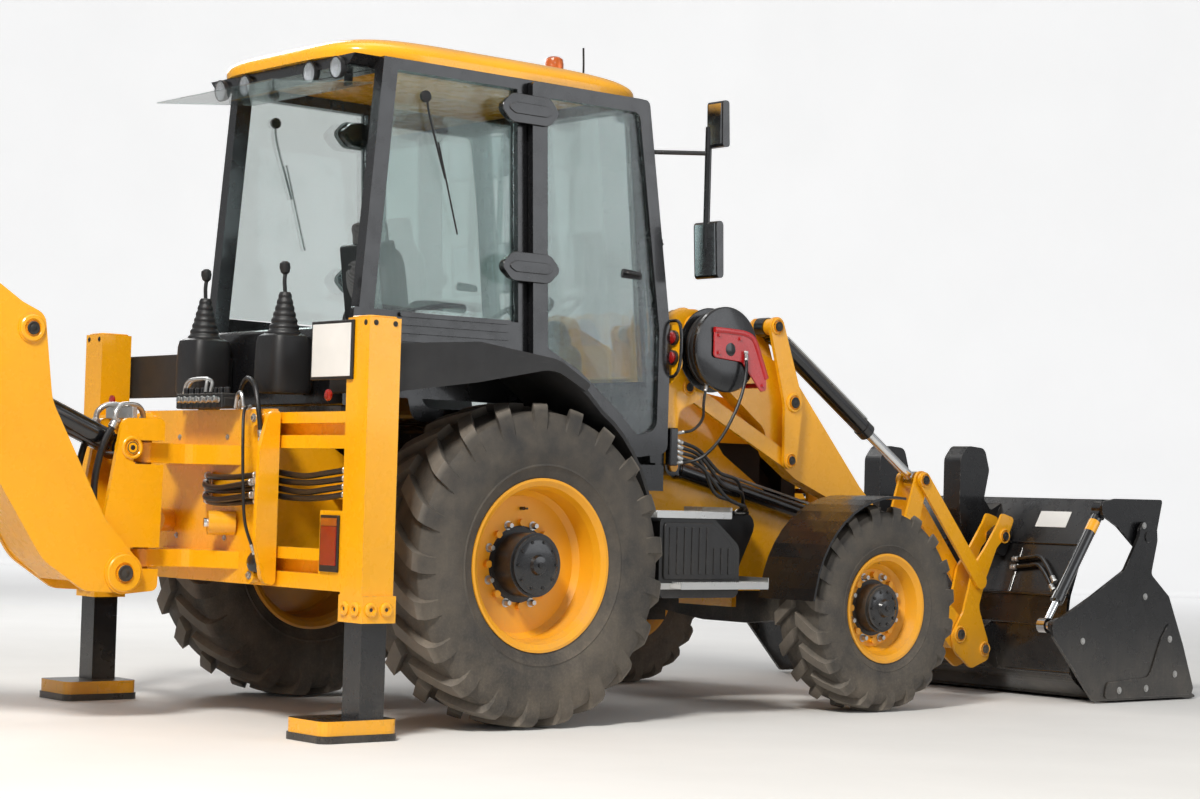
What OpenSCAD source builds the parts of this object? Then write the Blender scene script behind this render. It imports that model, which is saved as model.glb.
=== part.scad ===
// Backhoe loader with side-shift backhoe, clam front bucket and vertical stabilisers.
// +X is forward, +Y is left, +Z is up. Heights are above the ground.
// Points written [x, z] lie in the side view and are measured from the rear axle.

/* [Wheels] */
// Distance from the rear axle to the front axle
wheelbase = 2170; // [2000:10:2300]
// Radius of a rear tyre over its lugs
rear_tyre_r = 708; // [690:1:720]
// Width of a rear tyre
rear_tyre_w = 450; // [420:5:470]
// Half of the width over the rear tyres
rear_outer_y = 1105; // [1090:1:1120]
// Radius of the rear rim's flange
rear_rim_r = 378; // [360:1:390]
// Radius of a front tyre over its lugs
front_tyre_r = 506; // [490:1:515]
// Width of a front tyre
front_tyre_w = 330; // [300:5:340]
// Half of the width over the front tyres
front_outer_y = 1100; // [1090:1:1115]
// Radius of the front rim's flange
front_rim_r = 268; // [255:1:280]
// Distance of a steering pivot from the centre line
kingpin_y = 790; // [780:1:800]
// Depth of a rim's seat under its flange
rim_seat = 22; // [20:1:26]
// Lugs on each side of a rear tyre
rear_lugs = 13; // [11:1:20]
// Lugs on each side of a front tyre
front_lugs = 12; // [10:1:18]
// Lean of a lug from the axle
lug_lean = 38; // [30:1:45]
// Height of a lug as a share of the tyre's section
lug_share = 0.1; // [0.08:0.01:0.14]
// Nuts that hold a rim
wheel_nuts = 8; // [6:1:12]

/* [Loader] */
// Pivot of the loader arms on the towers
arm_pivot = [1260, 1840];
// Pivot of the levelling lever on the arm
level_pivot = [1958, 1509];
// Upper pin of the levelling lever, which holds the crowd ram
level_top = [1832, 1882];
// Lower pin of the levelling lever, which holds the levelling link
level_low = [1945, 1220];
// Pin of the lift ram on the tower
lift_base = [1300, 1170];
// Pin of the lift ram on the arm
lift_eye = [2600, 880];
// Pivot of the tipping lever on the arm
tip_pivot = [2820, 740];
// Upper pin of the tipping lever
tip_top = [2948, 1148];
// Pin of the tipping link on the hitch
hitch_link = [3414, 617];
// Pivot of the hitch on the arm
hitch_pivot = [3275, 334];
// Half of the bucket's width
bucket_half_w = 1175; // [1150:1:1200]
// Pivot of the clam on the fixed cheeks
clam_pivot = [4100, 880];
// Upper pin of the clam ram
clam_base = [3800, 1020];
// Lower pin of the clam ram
clam_eye = [3360, 410];

/* [Backhoe] */
// Distance of the slew axis behind the rear axle
slew_x = 1360; // [1340:5:1380]
// Pin at the foot of the boom
boom_foot = [-1524, 635];
// Base pin of the boom ram on the kingpost
boom_ram_base = [-1484, 1165];
// Pin of the boom ram on the boom
boom_ram_eye = [-2726, 1693];
// Base pin of the dipper ram on the boom
dipper_ram_base = [-1985, 1639];
// Pivot of the dipper on the boom
dipper_pivot = [-3530, 2450];
// Pin of the dipper ram on the dipper
dipper_ram_eye = [-3568, 2878];
// Base pin of the bucket ram on the dipper
bucket_ram_base = [-3736, 2196];
// Pivot of the bucket lever on the dipper
lever_pivot = [-3699, 1227];
// Pin that joins the bucket lever, the link and the bucket ram
lever_pin = [-3998, 1250];
// Pin of the link on the hoe bucket
hoe_link_pin = [-3960, 922];
// Pivot of the hoe bucket on the dipper
hoe_pivot = [-3740, 930];
// Half of the hoe bucket's width
hoe_half_w = 250; // [200:5:300]

/* [Stabilisers] */
// Distance of a stabiliser leg behind the rear axle
leg_x = 940; // [930:1:950]
// Distance of a stabiliser leg from the centre line
leg_y = 1100; // [1090:1:1110]
// Side of a stabiliser tower
tower_w = 155; // [150:1:160]
// Height of a tower's top
tower_top = 1715; // [1690:5:1740]
// Wall of a stabiliser tower
tower_t = 10; // [8:1:12]
// Side of a leg
leg_w = 122; // [118:1:124]

/* [Cab] */
// Half of the cab's width at the posts
cab_half_w = 620; // [600:5:640]
// Height of the cab floor's top
floor_z = 1120; // [1090:5:1150]
// Height of the roof's lower edge
eave_z = 2900; // [2880:5:2930]
// Height of the beacon's foot
beacon_z = 3050; // [3040:5:3080]
// Thickness of a window pane
pane_t = 6; // [5:1:8]
// Place of a mirror's stalk ahead of the rear axle
mirror_x = 1160; // [1140:5:1180]
// Distance of a mirror's stalk from the centre line
mirror_y = 800; // [780:5:820]

/* [Fits] */
// Radial clearance of a pin in its bore
pin_fit = 0.1; // [0.05:0.05:0.15]
// Radial clearance of a rod in its gland
rod_fit = 0.1; // [0.05:0.05:0.15]
// Gap that seats one piece on another
seat_gap = 0.3; // [0.2:0.1:0.5]
// Facets of a round
$fn = 48; // [32:8:64]

/* [Hidden] */
// Rear axle's place in the model, which centres the whole machine on X
frame_x = -203;
yellow = "gold";
black = [0.08, 0.08, 0.09];
dark = [0.2, 0.2, 0.22];
steel = "silver";
grey_tyre = [0.25, 0.23, 0.21];
tint = [0.3, 0.5, 0.5, 0.4];

// Planes of the loader linkage, each [inner, outer] distance from the centre line
chassis_y = [345, 361];
lift_ram_y = 410;
arm_y = [476, 560];
crowd_ram_y = 518;
plate_in_y = [455, 470];
level_link_y = [566, 586];
plate_out_y = [592, 612];
tip_out_y = [566, 581];
tip_link_in_y = [433, 449];
tip_link_out_y = [587, 603];
level_link_pin = arm_pivot + (level_low - level_pivot);

// Planes of the backhoe, each half a width
kingpost_y = [95, 118];
boom_y = [128, 150];
dipper_y = [90, 110];

// Nose of the side plates, and top of the front axle's saddle
nose_x = wheelbase + 310;
saddle_z = front_tyre_r + 194;

// Planes of the front bucket's sides
cheek_y = [bucket_half_w - 50, bucket_half_w - 35];
clam_ram_y = bucket_half_w - 90;
clam_tooth_gap = (bucket_half_w - 55) / 4;

// Lashing eye in the side plates, and the radius of it and of the towing pin's hole
lash_point = [-790, 690];
lash_r = 22;

// Shapes

function unit(v) = v / norm(v);
function heading(p, q) = atan2(q[1] - p[1], q[0] - p[0]);
// Point at a distance and an angle from another
function polar(p, r, a) = p + r * [cos(a), sin(a)];

// Arc that rounds the corner b between a and c
function corner(a, b, c, r, n = 4) =
  let (u = unit(a - b), v = unit(c - b), half = acos(u * v) / 2,
       d = min(r / tan(half), 0.48 * min(norm(a - b), norm(c - b))), rr = d * tan(half),
       m = b + unit(u + v) * rr / sin(half), s = heading(m, b + u * d), e = heading(m, b + v * d),
       turn = (e - s + 540) % 360 - 180)
  [for (i = [0:n]) polar(m, rr, s + turn * i / n)];

// Outline from rows [x, y, corner radius]
function rounded(rows) =
  [for (i = [0:len(rows) - 1])
    let (k = len(rows), p = rows[(i + k - 1) % k], q = rows[i], s = rows[(i + 1) % k])
    each q[2] == 0 ? [[q[0], q[1]]] : corner([p[0], p[1]], [q[0], q[1]], [s[0], s[1]], q[2])];

module outline(rows) { polygon(rounded(rows)); }

// Side-view outline, thick from y0 to y1
module side(y) { translate([0, y[1], 0]) rotate([90, 0, 0]) linear_extrude(y[1] - y[0]) children(); }
// Front-view outline, thick from x0 to x1
module across(x0, x1) { translate([x0, 0, 0]) rotate([90, 0, 90]) linear_extrude(x1 - x0) children(); }
// Plan outline, thick from z0 to z1
module level(z0, z1) { translate([0, 0, z0]) linear_extrude(z1 - z0) children(); }
module both() { children(); mirror([0, 1, 0]) children(); }
module block(lo, hi) { translate(lo) cube(hi - lo); }

// Round bar along Y at a side-view point
module pin(p, r, y) { translate([p[0], y[1], p[1]]) rotate([90, 0, 0]) cylinder(r = r, h = y[1] - y[0]); }
// Round bar between two points in space
module bar(p, q, r) {
  d = q - p;
  translate(p) rotate([0, acos(d[2] / norm(d)), atan2(d[1], d[0])]) cylinder(r = r, h = norm(d));
}
// Bent tube through points in space; its stretches overlap at the bends
module tube(points, r) {
  last = len(points) - 2;
  for (i = [0:last]) {
    along = unit(points[i + 1] - points[i]) * r * 0.6;
    bar(points[i] - (i > 0 ? along : [0, 0, 0]), points[i + 1] + (i < last ? along : [0, 0, 0]), r);
  }
}
// Tapered link with round ends
module link(p, q, rp, rq) {
  t = heading(p, q);
  b = acos((rp - rq) / norm(q - p));
  polygon([polar(p, rp, t + b), polar(q, rq, t + b), polar(q, rq, t - b), polar(p, rp, t - b)]);
  translate(p) circle(rp);
  translate(q) circle(rq);
}
module hole(p, r) { translate(p) circle(r); }

// Rams

// Barrel that hinges on a pin at base and points at eye; wide is the width of its base eye
module ram_barrel(base, eye, y, r, rod_r, length, wide, pin_r) {
  boss = pin_r * 1.9;
  translate([base[0], y, base[1]]) rotate([0, -heading(base, eye), 0]) difference() {
    union() {
      translate([boss + 6, 0, 0]) rotate([0, 90, 0]) cylinder(r = r, h = length - boss - 6);
      translate([length - 50, 0, 0]) rotate([0, 90, 0]) cylinder(r = r + 5, h = 50);
      rotate([90, 0, 0]) cylinder(r = boss, h = wide, center = true);
      block([pin_r, -wide * 0.45, -boss * 0.7], [boss + 8, wide * 0.45, boss * 0.7]);
    }
    rotate([90, 0, 0]) cylinder(r = pin_r + pin_fit, h = 4 * r, center = true);
    translate([pin_r + 8, 0, 0]) rotate([0, 90, 0]) cylinder(r = rod_r + rod_fit, h = length);
  }
}
// Rod from start inside the barrel to its eye
module ram_rod(base, eye, y, rod_r, start, wide, pin_r) {
  far = norm(eye - base);
  translate([base[0], y, base[1]]) rotate([0, -heading(base, eye), 0]) difference() {
    union() {
      translate([start, 0, 0]) rotate([0, 90, 0]) cylinder(r = rod_r, h = far - start - pin_r);
      translate([far, 0, 0]) rotate([90, 0, 0]) cylinder(r = pin_r * 1.8, h = wide, center = true);
    }
    translate([far, 0, 0]) rotate([90, 0, 0]) cylinder(r = pin_r, h = 2 * wide, center = true);
  }
}

// Wheels

// Chevron lug on its own radial line; share runs from the tread's middle to the shoulder
module lug(r, w, h, thick, lean) {
  reach = (0.485 * w - thick / 2 * sin(lean)) / cos(lean);
  rotate([0, 90, 0]) rotate([0, 0, lean]) translate([0, thick / 2, 0]) rotate([90, 0, 0])
    linear_extrude(thick) polygon([
      // rows [share, radius at the lug's outer edge]
      for (row = [[0.02, r - 0.2 * h], [0.02, r], [0.8, r - 4], [1, r - 0.36 * h]])
        [row[0] * reach, sqrt(pow(row[1], 2) - pow(row[0] * reach * sin(lean) + thick / 2 * cos(lean), 2))]]);
}
// Tyre about its axle, outer side towards +Y, between its rim's seats, with lugs in two staggered rows
module tyre(r, w, rim_r, lugs) {
  h = r - rim_r;
  wall = [[rim_r - rim_seat, 0.40 * w], [rim_r + 4, 0.40 * w], [rim_r + 0.45 * h, 0.5 * w],
          [r - 0.28 * h, 0.46 * w], [r - lug_share * h, 0.37 * w]];
  color(grey_tyre) rotate([-90, 0, 0]) {
    rotate_extrude($fn = wheel_sides) polygon(concat(wall,
      [for (i = [len(wall) - 1:-1:0]) [wall[i][0], -wall[i][1]]]));
    for (row = [0, 1], k = [1:lugs]) rotate([0, 0, 360 * (k + row / 2) / lugs]) mirror([0, 0, row])
      lug(r, w, h, 2 * r / lugs, lug_lean);
  }
}
// Dished rim; disc is the disc's place along the axle from the tyre's middle, hub the hub's outer face
module rim(rim_r, w, disc, hub, hub_r) {
  seat = rim_r - rim_seat - seat_gap;
  edge = 0.40 * w + seat_gap;
  color(yellow) rotate([-90, 0, 0]) {
    rotate_extrude($fn = wheel_sides) polygon([
      [rim_r, edge + 9], [rim_r - 12, edge + 9], [rim_r - 34, edge - 6], [rim_r - 46, edge - 40],
      [rim_r - 54, disc + 40],
      [rim_r - 78, disc + 16], [hub_r, disc + 14], [hub_r, disc], [rim_r - 74, disc], [rim_r - 62, disc - 14],
      [rim_r - 52, 30 - edge], [rim_r - 34, 6 - edge], [rim_r - 12, -edge - 9], [rim_r, -edge - 9],
      [rim_r, -edge],
      [seat, -edge], [seat, edge], [rim_r, edge]]);
    translate([0, 0, disc]) cylinder(r = hub_r + 18, h = 16);
    translate([0, 0, disc]) cylinder(r = hub_r, h = hub - disc - 12);
    translate([0, 0, disc]) cylinder(r = hub_r - 12, h = hub - disc);
    // wheel nuts
    for (k = [1:wheel_nuts]) rotate([0, 0, 360 * k / wheel_nuts]) translate([hub_r + 42, 0, disc])
      cylinder(r = 16, h = 36);
  }
}
module at_rear_wheel() { translate([0, rear_outer_y - rear_tyre_w / 2, rear_tyre_r]) children(); }
module at_front_wheel() { translate([wheelbase, front_outer_y - front_tyre_w / 2, front_tyre_r]) children(); }
// Sides of a tyre and its rim in a preview
wheel_sides = 32;
rear_disc = 14;
front_disc = 26;
module rear_tyre_left() { at_rear_wheel() tyre(rear_tyre_r, rear_tyre_w, rear_rim_r, rear_lugs); }
module rear_rim_left() { at_rear_wheel() rim(rear_rim_r, rear_tyre_w, rear_disc, 155, 140); }
module rear_tyre_right() { mirror([0, 1, 0]) rear_tyre_left(); }
module rear_rim_right() { mirror([0, 1, 0]) rear_rim_left(); }
module front_tyre_left() { at_front_wheel() tyre(front_tyre_r, front_tyre_w, front_rim_r, front_lugs); }
module front_rim_left() { at_front_wheel() rim(front_rim_r, front_tyre_w, front_disc, 120, 118); }
module front_tyre_right() { mirror([0, 1, 0]) front_tyre_left(); }
module front_rim_right() { mirror([0, 1, 0]) front_rim_left(); }

// Axles

rear_hub_y = rear_outer_y - rear_tyre_w / 2 + rear_disc - seat_gap;
front_hub_y = front_outer_y - front_tyre_w / 2 + front_disc - seat_gap;
yoke_z = 118;

// Rear axle with its gearbox, from flange to flange
module rear_axle() {
  color(dark) translate([0, 0, rear_tyre_r]) {
    // rows [distance from the centre line, radius]
    for (s = [-1, 1]) for (row = [[0, 190], [230, 150], [420, 105], [620, 95], [rear_hub_y - 70, 150]])
      let (y = row[0]) intersection() {
        rotate([-90 * s, 0, 0]) translate([0, 0, y]) cylinder(r = row[1], h = min(rear_hub_y, y + 260) - y);
        rotate([-90 * s, 0, 0]) cylinder(r = 400, h = rear_hub_y);
      }
    block([0, -170, -190], [760, 170, 250]);
    translate([760, 0, 40]) rotate([0, 90, 0]) cylinder(r = 165, h = 170 - seat_gap);
  }
}

// Front axle beam with a yoke at each end
yoke_y = 672;
module front_axle() {
  color(dark) translate([wheelbase, 0, front_tyre_r]) {
    across(-80, 80) outline([
      [-yoke_y, 60, 0], [-560, 75, 30], [-160, 115, 30], [160, 115, 30], [560, 75, 30], [yoke_y, 60, 0],
      [yoke_y, -60, 0], [560, -75, 30], [160, -120, 30], [-160, -120, 30], [-560, -75, 30], [-yoke_y, -60, 0]
    ]);
    both() difference() {
      union() {
        block([-62, yoke_y - 60, -yoke_z - 30], [62, yoke_y, yoke_z + 30]);
        for (s = [-1, 1]) translate([0, 0, s * (yoke_z + 15)]) {
          block([-60, yoke_y - 20, -15], [60, kingpin_y, 15]);
          translate([0, kingpin_y, -15]) cylinder(r = 60, h = 30);
        }
      }
      translate([0, kingpin_y, -200]) cylinder(r = 20 + pin_fit, h = 400);
    }
    translate([0, 0, 60]) rotate([0, 90, 0]) cylinder(r = 50, h = 450, center = true);
  }
}

// Steering knuckle with its pins, hub carrier and front fender
front_fender_r = front_tyre_r + 44;
module knuckle_left() {
  inner = front_outer_y - front_tyre_w - 24;
  color(black) translate([wheelbase, 0, front_tyre_r]) {
    translate([0, kingpin_y, -yoke_z + 0.5]) cylinder(r = 56, h = 2 * yoke_z - 1);
    translate([0, kingpin_y, -yoke_z - 34]) cylinder(r = 20, h = 2 * yoke_z + 68);
    translate([0, kingpin_y, 0]) rotate([-90, 0, 0]) cylinder(r = 95, h = front_hub_y - kingpin_y);
    translate([0, kingpin_y + 90, 0]) rotate([-90, 0, 0]) cylinder(r = 150, h = front_hub_y - kingpin_y - 90);
    // bracket that rises behind the yoke to the fender
    side([inner, inner + 14]) outline([
      [40, -60, 10], [40, 60, 10], [-170, 90, 20], [-185, front_fender_r - 38, 0],
      [-345, front_fender_r - 125, 0],
      [-340, 180, 40], [-160, -60, 40]
    ]);
    // arch from behind the wheel to past its top
    side([inner, front_outer_y + 20]) polygon(concat(
      [for (a = [82:8:170]) polar([0, 0], front_fender_r, a)], [[-front_fender_r - 4, 40]],
      [[-front_fender_r + 8, 40]], [for (a = [170:-8:82]) polar([0, 0], front_fender_r - 12, a)]));
  }
}
module knuckle_right() { mirror([0, 1, 0]) knuckle_left(); }

// Chassis

member_y = chassis_y[0] - seat_gap;
// Frame rails, cross members, loader towers and their pins
module chassis_frame() {
  color(yellow) {
    // main side plates, from the rear frame to the nose
    both() difference() {
      side(chassis_y) outline([
        [-960, 600, 0], [-960, 1240, 0], [-700, 1240, 40], [-300, 1000, 80], [1098, 980, 30],
        [1100, 1900, 40],
        [1200, 1935, 40], [1330, 1920, 60], [1500, 1500, 100], [1720, 1240, 60], [2020, 1060, 60],
        [nose_x - 60, 960, 40], [nose_x, 800, 30], [nose_x, 640, 30], [nose_x - 60, 560, 40],
        [700, 560, 60], [200, 600, 60]
      ]);
      // axle passes through
      translate([0, 0, rear_tyre_r]) rotate([90, 0, 0]) cylinder(r = 150 + seat_gap, h = 4000, center = true);
      side([300, 400]) hole([wheelbase, front_tyre_r], 150);
      // lashing eyes at the tail
      side([300, 400]) hole(lash_point, lash_r);
      // lightening window of the tower
      side([300, 400]) outline([[1180, 1420, 30], [1180, 1640, 30], [1290, 1620, 30], [1400, 1400, 30]]);
    }
    // cross members between the plates, rows [x0, x1, z0, z1], the last with the towing pin's hole
    difference() {
      for (m = [[-955, -900, 620, 760], [-955, -900, 1100, 1230], [1000, 1080, 580, 700],
                [nose_x - 80, nose_x - 4, 580, 780]])
        block([m[0], -member_y, m[2]], [m[1], member_y, m[3]]);
      translate([nose_x - 42, 0, 500]) cylinder(r = lash_r, h = 400);
    }
    // axle saddle
    block([wheelbase - 220, -member_y, saddle_z - 60], [wheelbase + 220, member_y, saddle_z]);
    difference() {
      for (s = [-1, 1]) block([wheelbase + s * 200 - 16, -200, saddle_z - 230],
        [wheelbase + s * 200 + 16, 200, saddle_z - 59]);
      translate([wheelbase, 0, front_tyre_r + 60]) rotate([0, 90, 0]) cylinder(r = 50 + pin_fit, h = 600,
        center = true);
    }
    // pins of the lift rams and the bonnet, and the cab's mounts, each seated against its plate
    both() {
      pin(lift_base, 25, [chassis_y[1] + seat_gap, 462]);
      pin(bonnet_hinge, 12, [285, member_y]);
      for (x = [-560, 900]) block([x - 60, chassis_y[1] + seat_gap, 970], [x + 60, 560, 1048 - seat_gap]);
    }
  }
}

// Outer post of each loader tower, with the pins that the arms, links and lift rams turn on
module loader_towers() {
  color(yellow) both() {
    side(plate_out_y) outline([
      [1100, 1180, 10], [1100, 1900, 30], [1200, 1935, 50], [1345, 1900, 60], [1340, 1500, 60],
      [1190, 1440, 60], [1160, 1180, 20]]);
    block([1100, chassis_y[1], 1180], [1125, plate_out_y[0] + 1, 1760]);
    // lamp plate beside the post
    across(1100, 1108) outline([[plate_out_y[0], 1560, 0], [plate_out_y[0], 1840, 0], [700, 1840, 30],
      [715, 1640, 30], [650, 1560, 30]]);
    pin(arm_pivot, 35, [chassis_y[1], plate_out_y[1] + 8]);
    pin(level_link_pin, 22, [level_link_y[0] - 4, plate_out_y[1] + 6]);
  }
}

module engine_block() {
  color(dark) {
    block([1140, -270, saddle_z + seat_gap], [2060, 270, 1340]);
    block([930, -200, saddle_z + seat_gap], [1140, 200, 1000]);
    block([2200, -290, saddle_z + seat_gap], [2300, 290, 1290]);
    translate([2060, 0, 1000]) rotate([0, 90, 0]) cylinder(r = 230, h = 140);
  }
}

module exhaust() {
  color(dark) translate([1172, -430, 0]) {
    translate([0, 0, 1300]) cylinder(r = 30, h = 300);
    translate([0, 0, 1590]) cylinder(r = 40, h = 420);
    tube([[0, 0, 2000], [0, 0, 2250], [-50, 0, 2320]], 32);
    block([-10, 30, 1560], [10, 430 - chassis_y[1] - seat_gap, 1600]);
  }
}

// Bonnet with its grille, hinged at its rear upper edge
bonnet_hinge = [1180, 1585];
module bonnet() {
  color(yellow) {
    difference() {
      union() {
        difference() {
          side([-335, 335]) outline([[1140, 1300, 0], [1140, 1610, 30], [2150, 1470, 200],
            [2460, 1330, 120], [2500, 820, 20],
                                     [2350, 820, 0], [2350, 1300, 0]]);
          side([-319, 319]) outline([[1000, 1200, 0], [1000, 1594, 0], [1140, 1594, 30], [2145, 1454, 200],
            [2446, 1318, 110],
                                     [2484, 700, 0], [2300, 700, 0]]);
        }
        both() pin(bonnet_hinge, 24, [290, 330]);
      }
      both() pin(bonnet_hinge, 12 + pin_fit, [200, 400]);
      // louvres in the flanks
      both() for (k = [0:4]) side([300, 400]) outline([
        [1960 + 62 * k, 1330, 8], [1990 + 62 * k, 1330, 8], [1975 + 62 * k, 1415 - 6 * k, 8],
        [1945 + 62 * k, 1415 - 6 * k, 8]]);
      // air inlets of the nose
      across(2300, 2600) for (k = [0:6]) translate([0, 880 + 55 * k]) square([520, 30], center = true);
    }
  }
}

// Cab

// Posts of one side in the side view, rows [lower x, lower z, upper x, upper z, width]
posts = [[-700, 1200, -560, 2900, 78], [262, 1200, 190, 2900, 105], [1040, 1180, 860, 2900, 70]];
module post(row) {
  polygon([[row[0] - row[4] / 2, row[1]], [row[0] + row[4] / 2, row[1]],
           [row[2] + row[4] / 2, row[3]], [row[2] - row[4] / 2, row[3]]]);
}
cab_in = cab_half_w - 62;
// Middle of a post at a height
function post_x(row, z) = row[0] + (row[2] - row[0]) * (z - row[1]) / (row[3] - row[1]);
// Heights of the door hinges, and a point of the hinge line at a height
hinge_z = [2040, 2755];
function hinge_at(z) = [225 - (z - 1640) * 0.04, cab_half_w + 28, z];
// Rounded leaf of a hinge, pointing away from the hinge line on one side
module hinge_leaf(p, way) {
  outline([for (row = [[22, 62, 12], [90, 58, 50], [170, 0, 40], [90, -58, 50], [22, -62, 12]])
    [p[0] + way * row[0], p[2] + row[1], row[2]]]);
}
module cab_frame() {
  color(black) {
    // Floor, raised over the axle at the rear
    side([-cab_half_w + 2, cab_half_w - 2]) outline([
      [-760, 1374, 10], [-760, 1720, 30], [-420, 1720, 60], [-330, 1380, 60], [190, 1380, 40],
      [250, floor_z, 40],
      [1035, floor_z, 0], [1058, 1560, 0], [1092, 1560, 10], [1092, 1048, 10], [210, 1048, 40],
      [150, 1320, 40],
      [-390, 1320, 60], [-480, 1660, 30], [-700, 1660, 20], [-700, 1374, 0]]);
    both() {
      for (row = posts) side([cab_in, cab_half_w]) post(row);
      // sills and side panels
      side([cab_half_w - 30, cab_half_w]) outline([
        [-730, 1600, 10], [-715, 1800, 10], [220, 1790, 10], [240, 1500, 10], [120, 1420, 60],
        [-640, 1420, 60]]);
      side([cab_half_w - 60, cab_half_w]) outline([
        [180, 1048, 0], [120, 1500, 0], [300, 1500, 0], [320, 1170, 40], [1060, 1170, 20], [1092, 1048, 0]]);
      // door hinge lugs and their pins
      for (z = hinge_z) {
        for (k = [-1, 1]) {
          bar(hinge_at(z + k * 30 - 12), hinge_at(z + k * 30 + 12), 13);
          translate(hinge_at(z + k * 30)) block([-13, cab_half_w - 1 - hinge_at(z)[1], -12], [13, 0, 12]);
        }
        bar(hinge_at(z - 44), hinge_at(z + 44), 6);
        // fixed leaf on the post
        side([cab_half_w - 1, cab_half_w + 36]) hinge_leaf(hinge_at(z), -1);
      }
      // louvres of the panel under the quarter glass
      for (z = [1675:36:1783]) side([cab_half_w - 1, cab_half_w + 13])
        outline([[-480, z - 10, 8], [-480, z + 10, 8], [135, z + 14, 8], [135, z - 6, 8]]);
      // roof rails
      side([cab_in, cab_half_w]) outline([[-600, 2850, 10], [-600, eave_z, 10], [900, eave_z, 10],
        [900, 2850, 10]]);
      // Clips that hold the raised rear window
      block([-590, 300, 2805.3], [-570, 340, 2851]);
      // Mirrors on tubular arms
      bar([910, cab_half_w - 40, 2655], [mirror_x + 5, mirror_y + 5, 2655], 11);
      translate([mirror_x, mirror_y, 2200]) cylinder(r = 16, h = 580);
      side([mirror_y - 80, mirror_y + 80]) outline([
        [mirror_x + 5, 2060, 20], [mirror_x - 10, 2330, 20], [mirror_x + 35, 2330, 20],
        [mirror_x + 45, 2060, 20]]);
      side([mirror_y - 10, mirror_y + 100]) outline([
        [mirror_x, 2680, 15], [mirror_x - 5, 2900, 15], [mirror_x + 35, 2900, 15],
        [mirror_x + 45, 2680, 15]]);
    }
    // black valance under the roof's edge, behind and ahead
    across(-735, -600) outline([[-540, 2852, 30], [-590, eave_z, 0], [590, eave_z, 0], [540, 2852, 30]]);
    across(899, 940) outline([[-540, 2852, 30], [-590, eave_z, 0], [590, eave_z, 0], [540, 2852, 30]]);
    // headers and rear cross rails, rows [x0, x1, z0, z1]
    for (m = [[-600, -540, 2850, eave_z], [830, 900, 2850, eave_z], [1045, 1092, 1500, 1570]])
      block([m[0], -cab_in - 1, m[2]], [m[1], cab_in + 1, m[3]]);
  }
}

module cab_roof() {
  base = eave_z + seat_gap;
  top = eave_z + 160;
  color(yellow) {
    // crowned both ways, rounded in plan
    intersection() {
      side([-cab_half_w, cab_half_w]) outline([
        [-760, base, 0], [-765, base + 35, 20], [-560, top - 55, 250], [400, top + 20, 900],
        [900, top - 50, 200],
        [1000, base + 40, 30], [992, base, 0]]);
      across(-800, 1050) outline([
        [-cab_half_w, base, 0], [-cab_half_w, base + 40, 20], [-470, top - 45, 150], [0, top + 15, 1500],
        [470, top - 45, 150],
        [cab_half_w, base + 40, 20], [cab_half_w, base, 0]]);
      level(base - 1, top + 100) outline([
        [-770, -cab_half_w, 90], [1010, -cab_half_w, 160], [1010, cab_half_w, 160], [-770, cab_half_w, 90]]);
    }
    // seat of the beacon
    translate([850, 0, base + 20]) cylinder(r = 75, h = beacon_z - base - 20);
  }
}

// Window panes, each set between its posts
module cab_glass() {
  color(tint) {
    // windscreen, upper and lower
    both() side([cab_half_w - 30 - pane_t, cab_half_w - 30]) polygon([
      for (c = [[0, 1, 1800.3], [0, 1, 2849.7], [1, -1, 2849.7], [1, -1, 1800.3]])
        [post_x(posts[c[0]], c[2]) + c[1] * (posts[c[0]][4] / 2 + seat_gap), c[2]]]);
    side([seat_gap - cab_in, cab_in - seat_gap]) polygon([
      for (c = [[-3, 1571], [3, 1571], [3, 2849], [-3, 2849]]) [post_x(posts[2], c[1]) + c[0], c[1]]]);
    side([-480, 480]) polygon([[-560, 2800], [-560, 2806], [-1080, 2752], [-1080, 2746]]);
  }
}

module door_left() {
  color(black) difference() {
    union() {
      door_frame();
      for (z = hinge_z) {
        bar(hinge_at(z - 17), hinge_at(z + 17), 12);
        translate(hinge_at(z)) block([0, -8, -15], [40, 8, 15]);
        side([cab_half_w + 39, cab_half_w + 50]) hinge_leaf(hinge_at(z), 1);
      }
    }
    bar(hinge_at(1500), hinge_at(2900), 6 + pin_fit);
  }
}
module door_frame() {
  side([cab_half_w + 6, cab_half_w + 40]) difference() {
    outline([[245, 1640, 20], [195, 2890, 20], [905, 2890, 30], [1075, 1800, 60], [1075, 1230, 40],
             [870, 1200, 60], [715, 1325, 80], [480, 1500, 80]]);
    outline([[330, 1680, 30], [285, 2825, 30], [845, 2825, 40], [1005, 1800, 60], [1005, 1340, 60],
             [890, 1300, 60], [760, 1415, 80], [520, 1590, 80]]);
  }
}
module door_glass_left() {
  color(tint) side([cab_half_w + 18, cab_half_w + 18 + pane_t]) outline([
    [330.3, 1680.3, 30], [285.3, 2824.7, 30], [844.7, 2824.7, 40], [1004.7, 1800, 60], [1004.7, 1340.3, 60],
    [890, 1300.3, 60], [760.3, 1415.3, 80], [520.3, 1590.3, 80]]);
}
module door_right() { mirror([0, 1, 0]) door_left(); }
module door_glass_right() { mirror([0, 1, 0]) door_glass_left(); }

module seat() {
  color(black) translate([20, 0, 0]) {
    translate([0, 0, 1380 + seat_gap]) cylinder(r = 130, h = 200);
    block([-190, -240, 1560], [290, 240, 1690]);
    side([-230, 230]) outline([[-200, 1600, 40], [-270, 2220, 60], [-150, 2220, 60], [-80, 1640, 40]]);
  }
}

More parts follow.
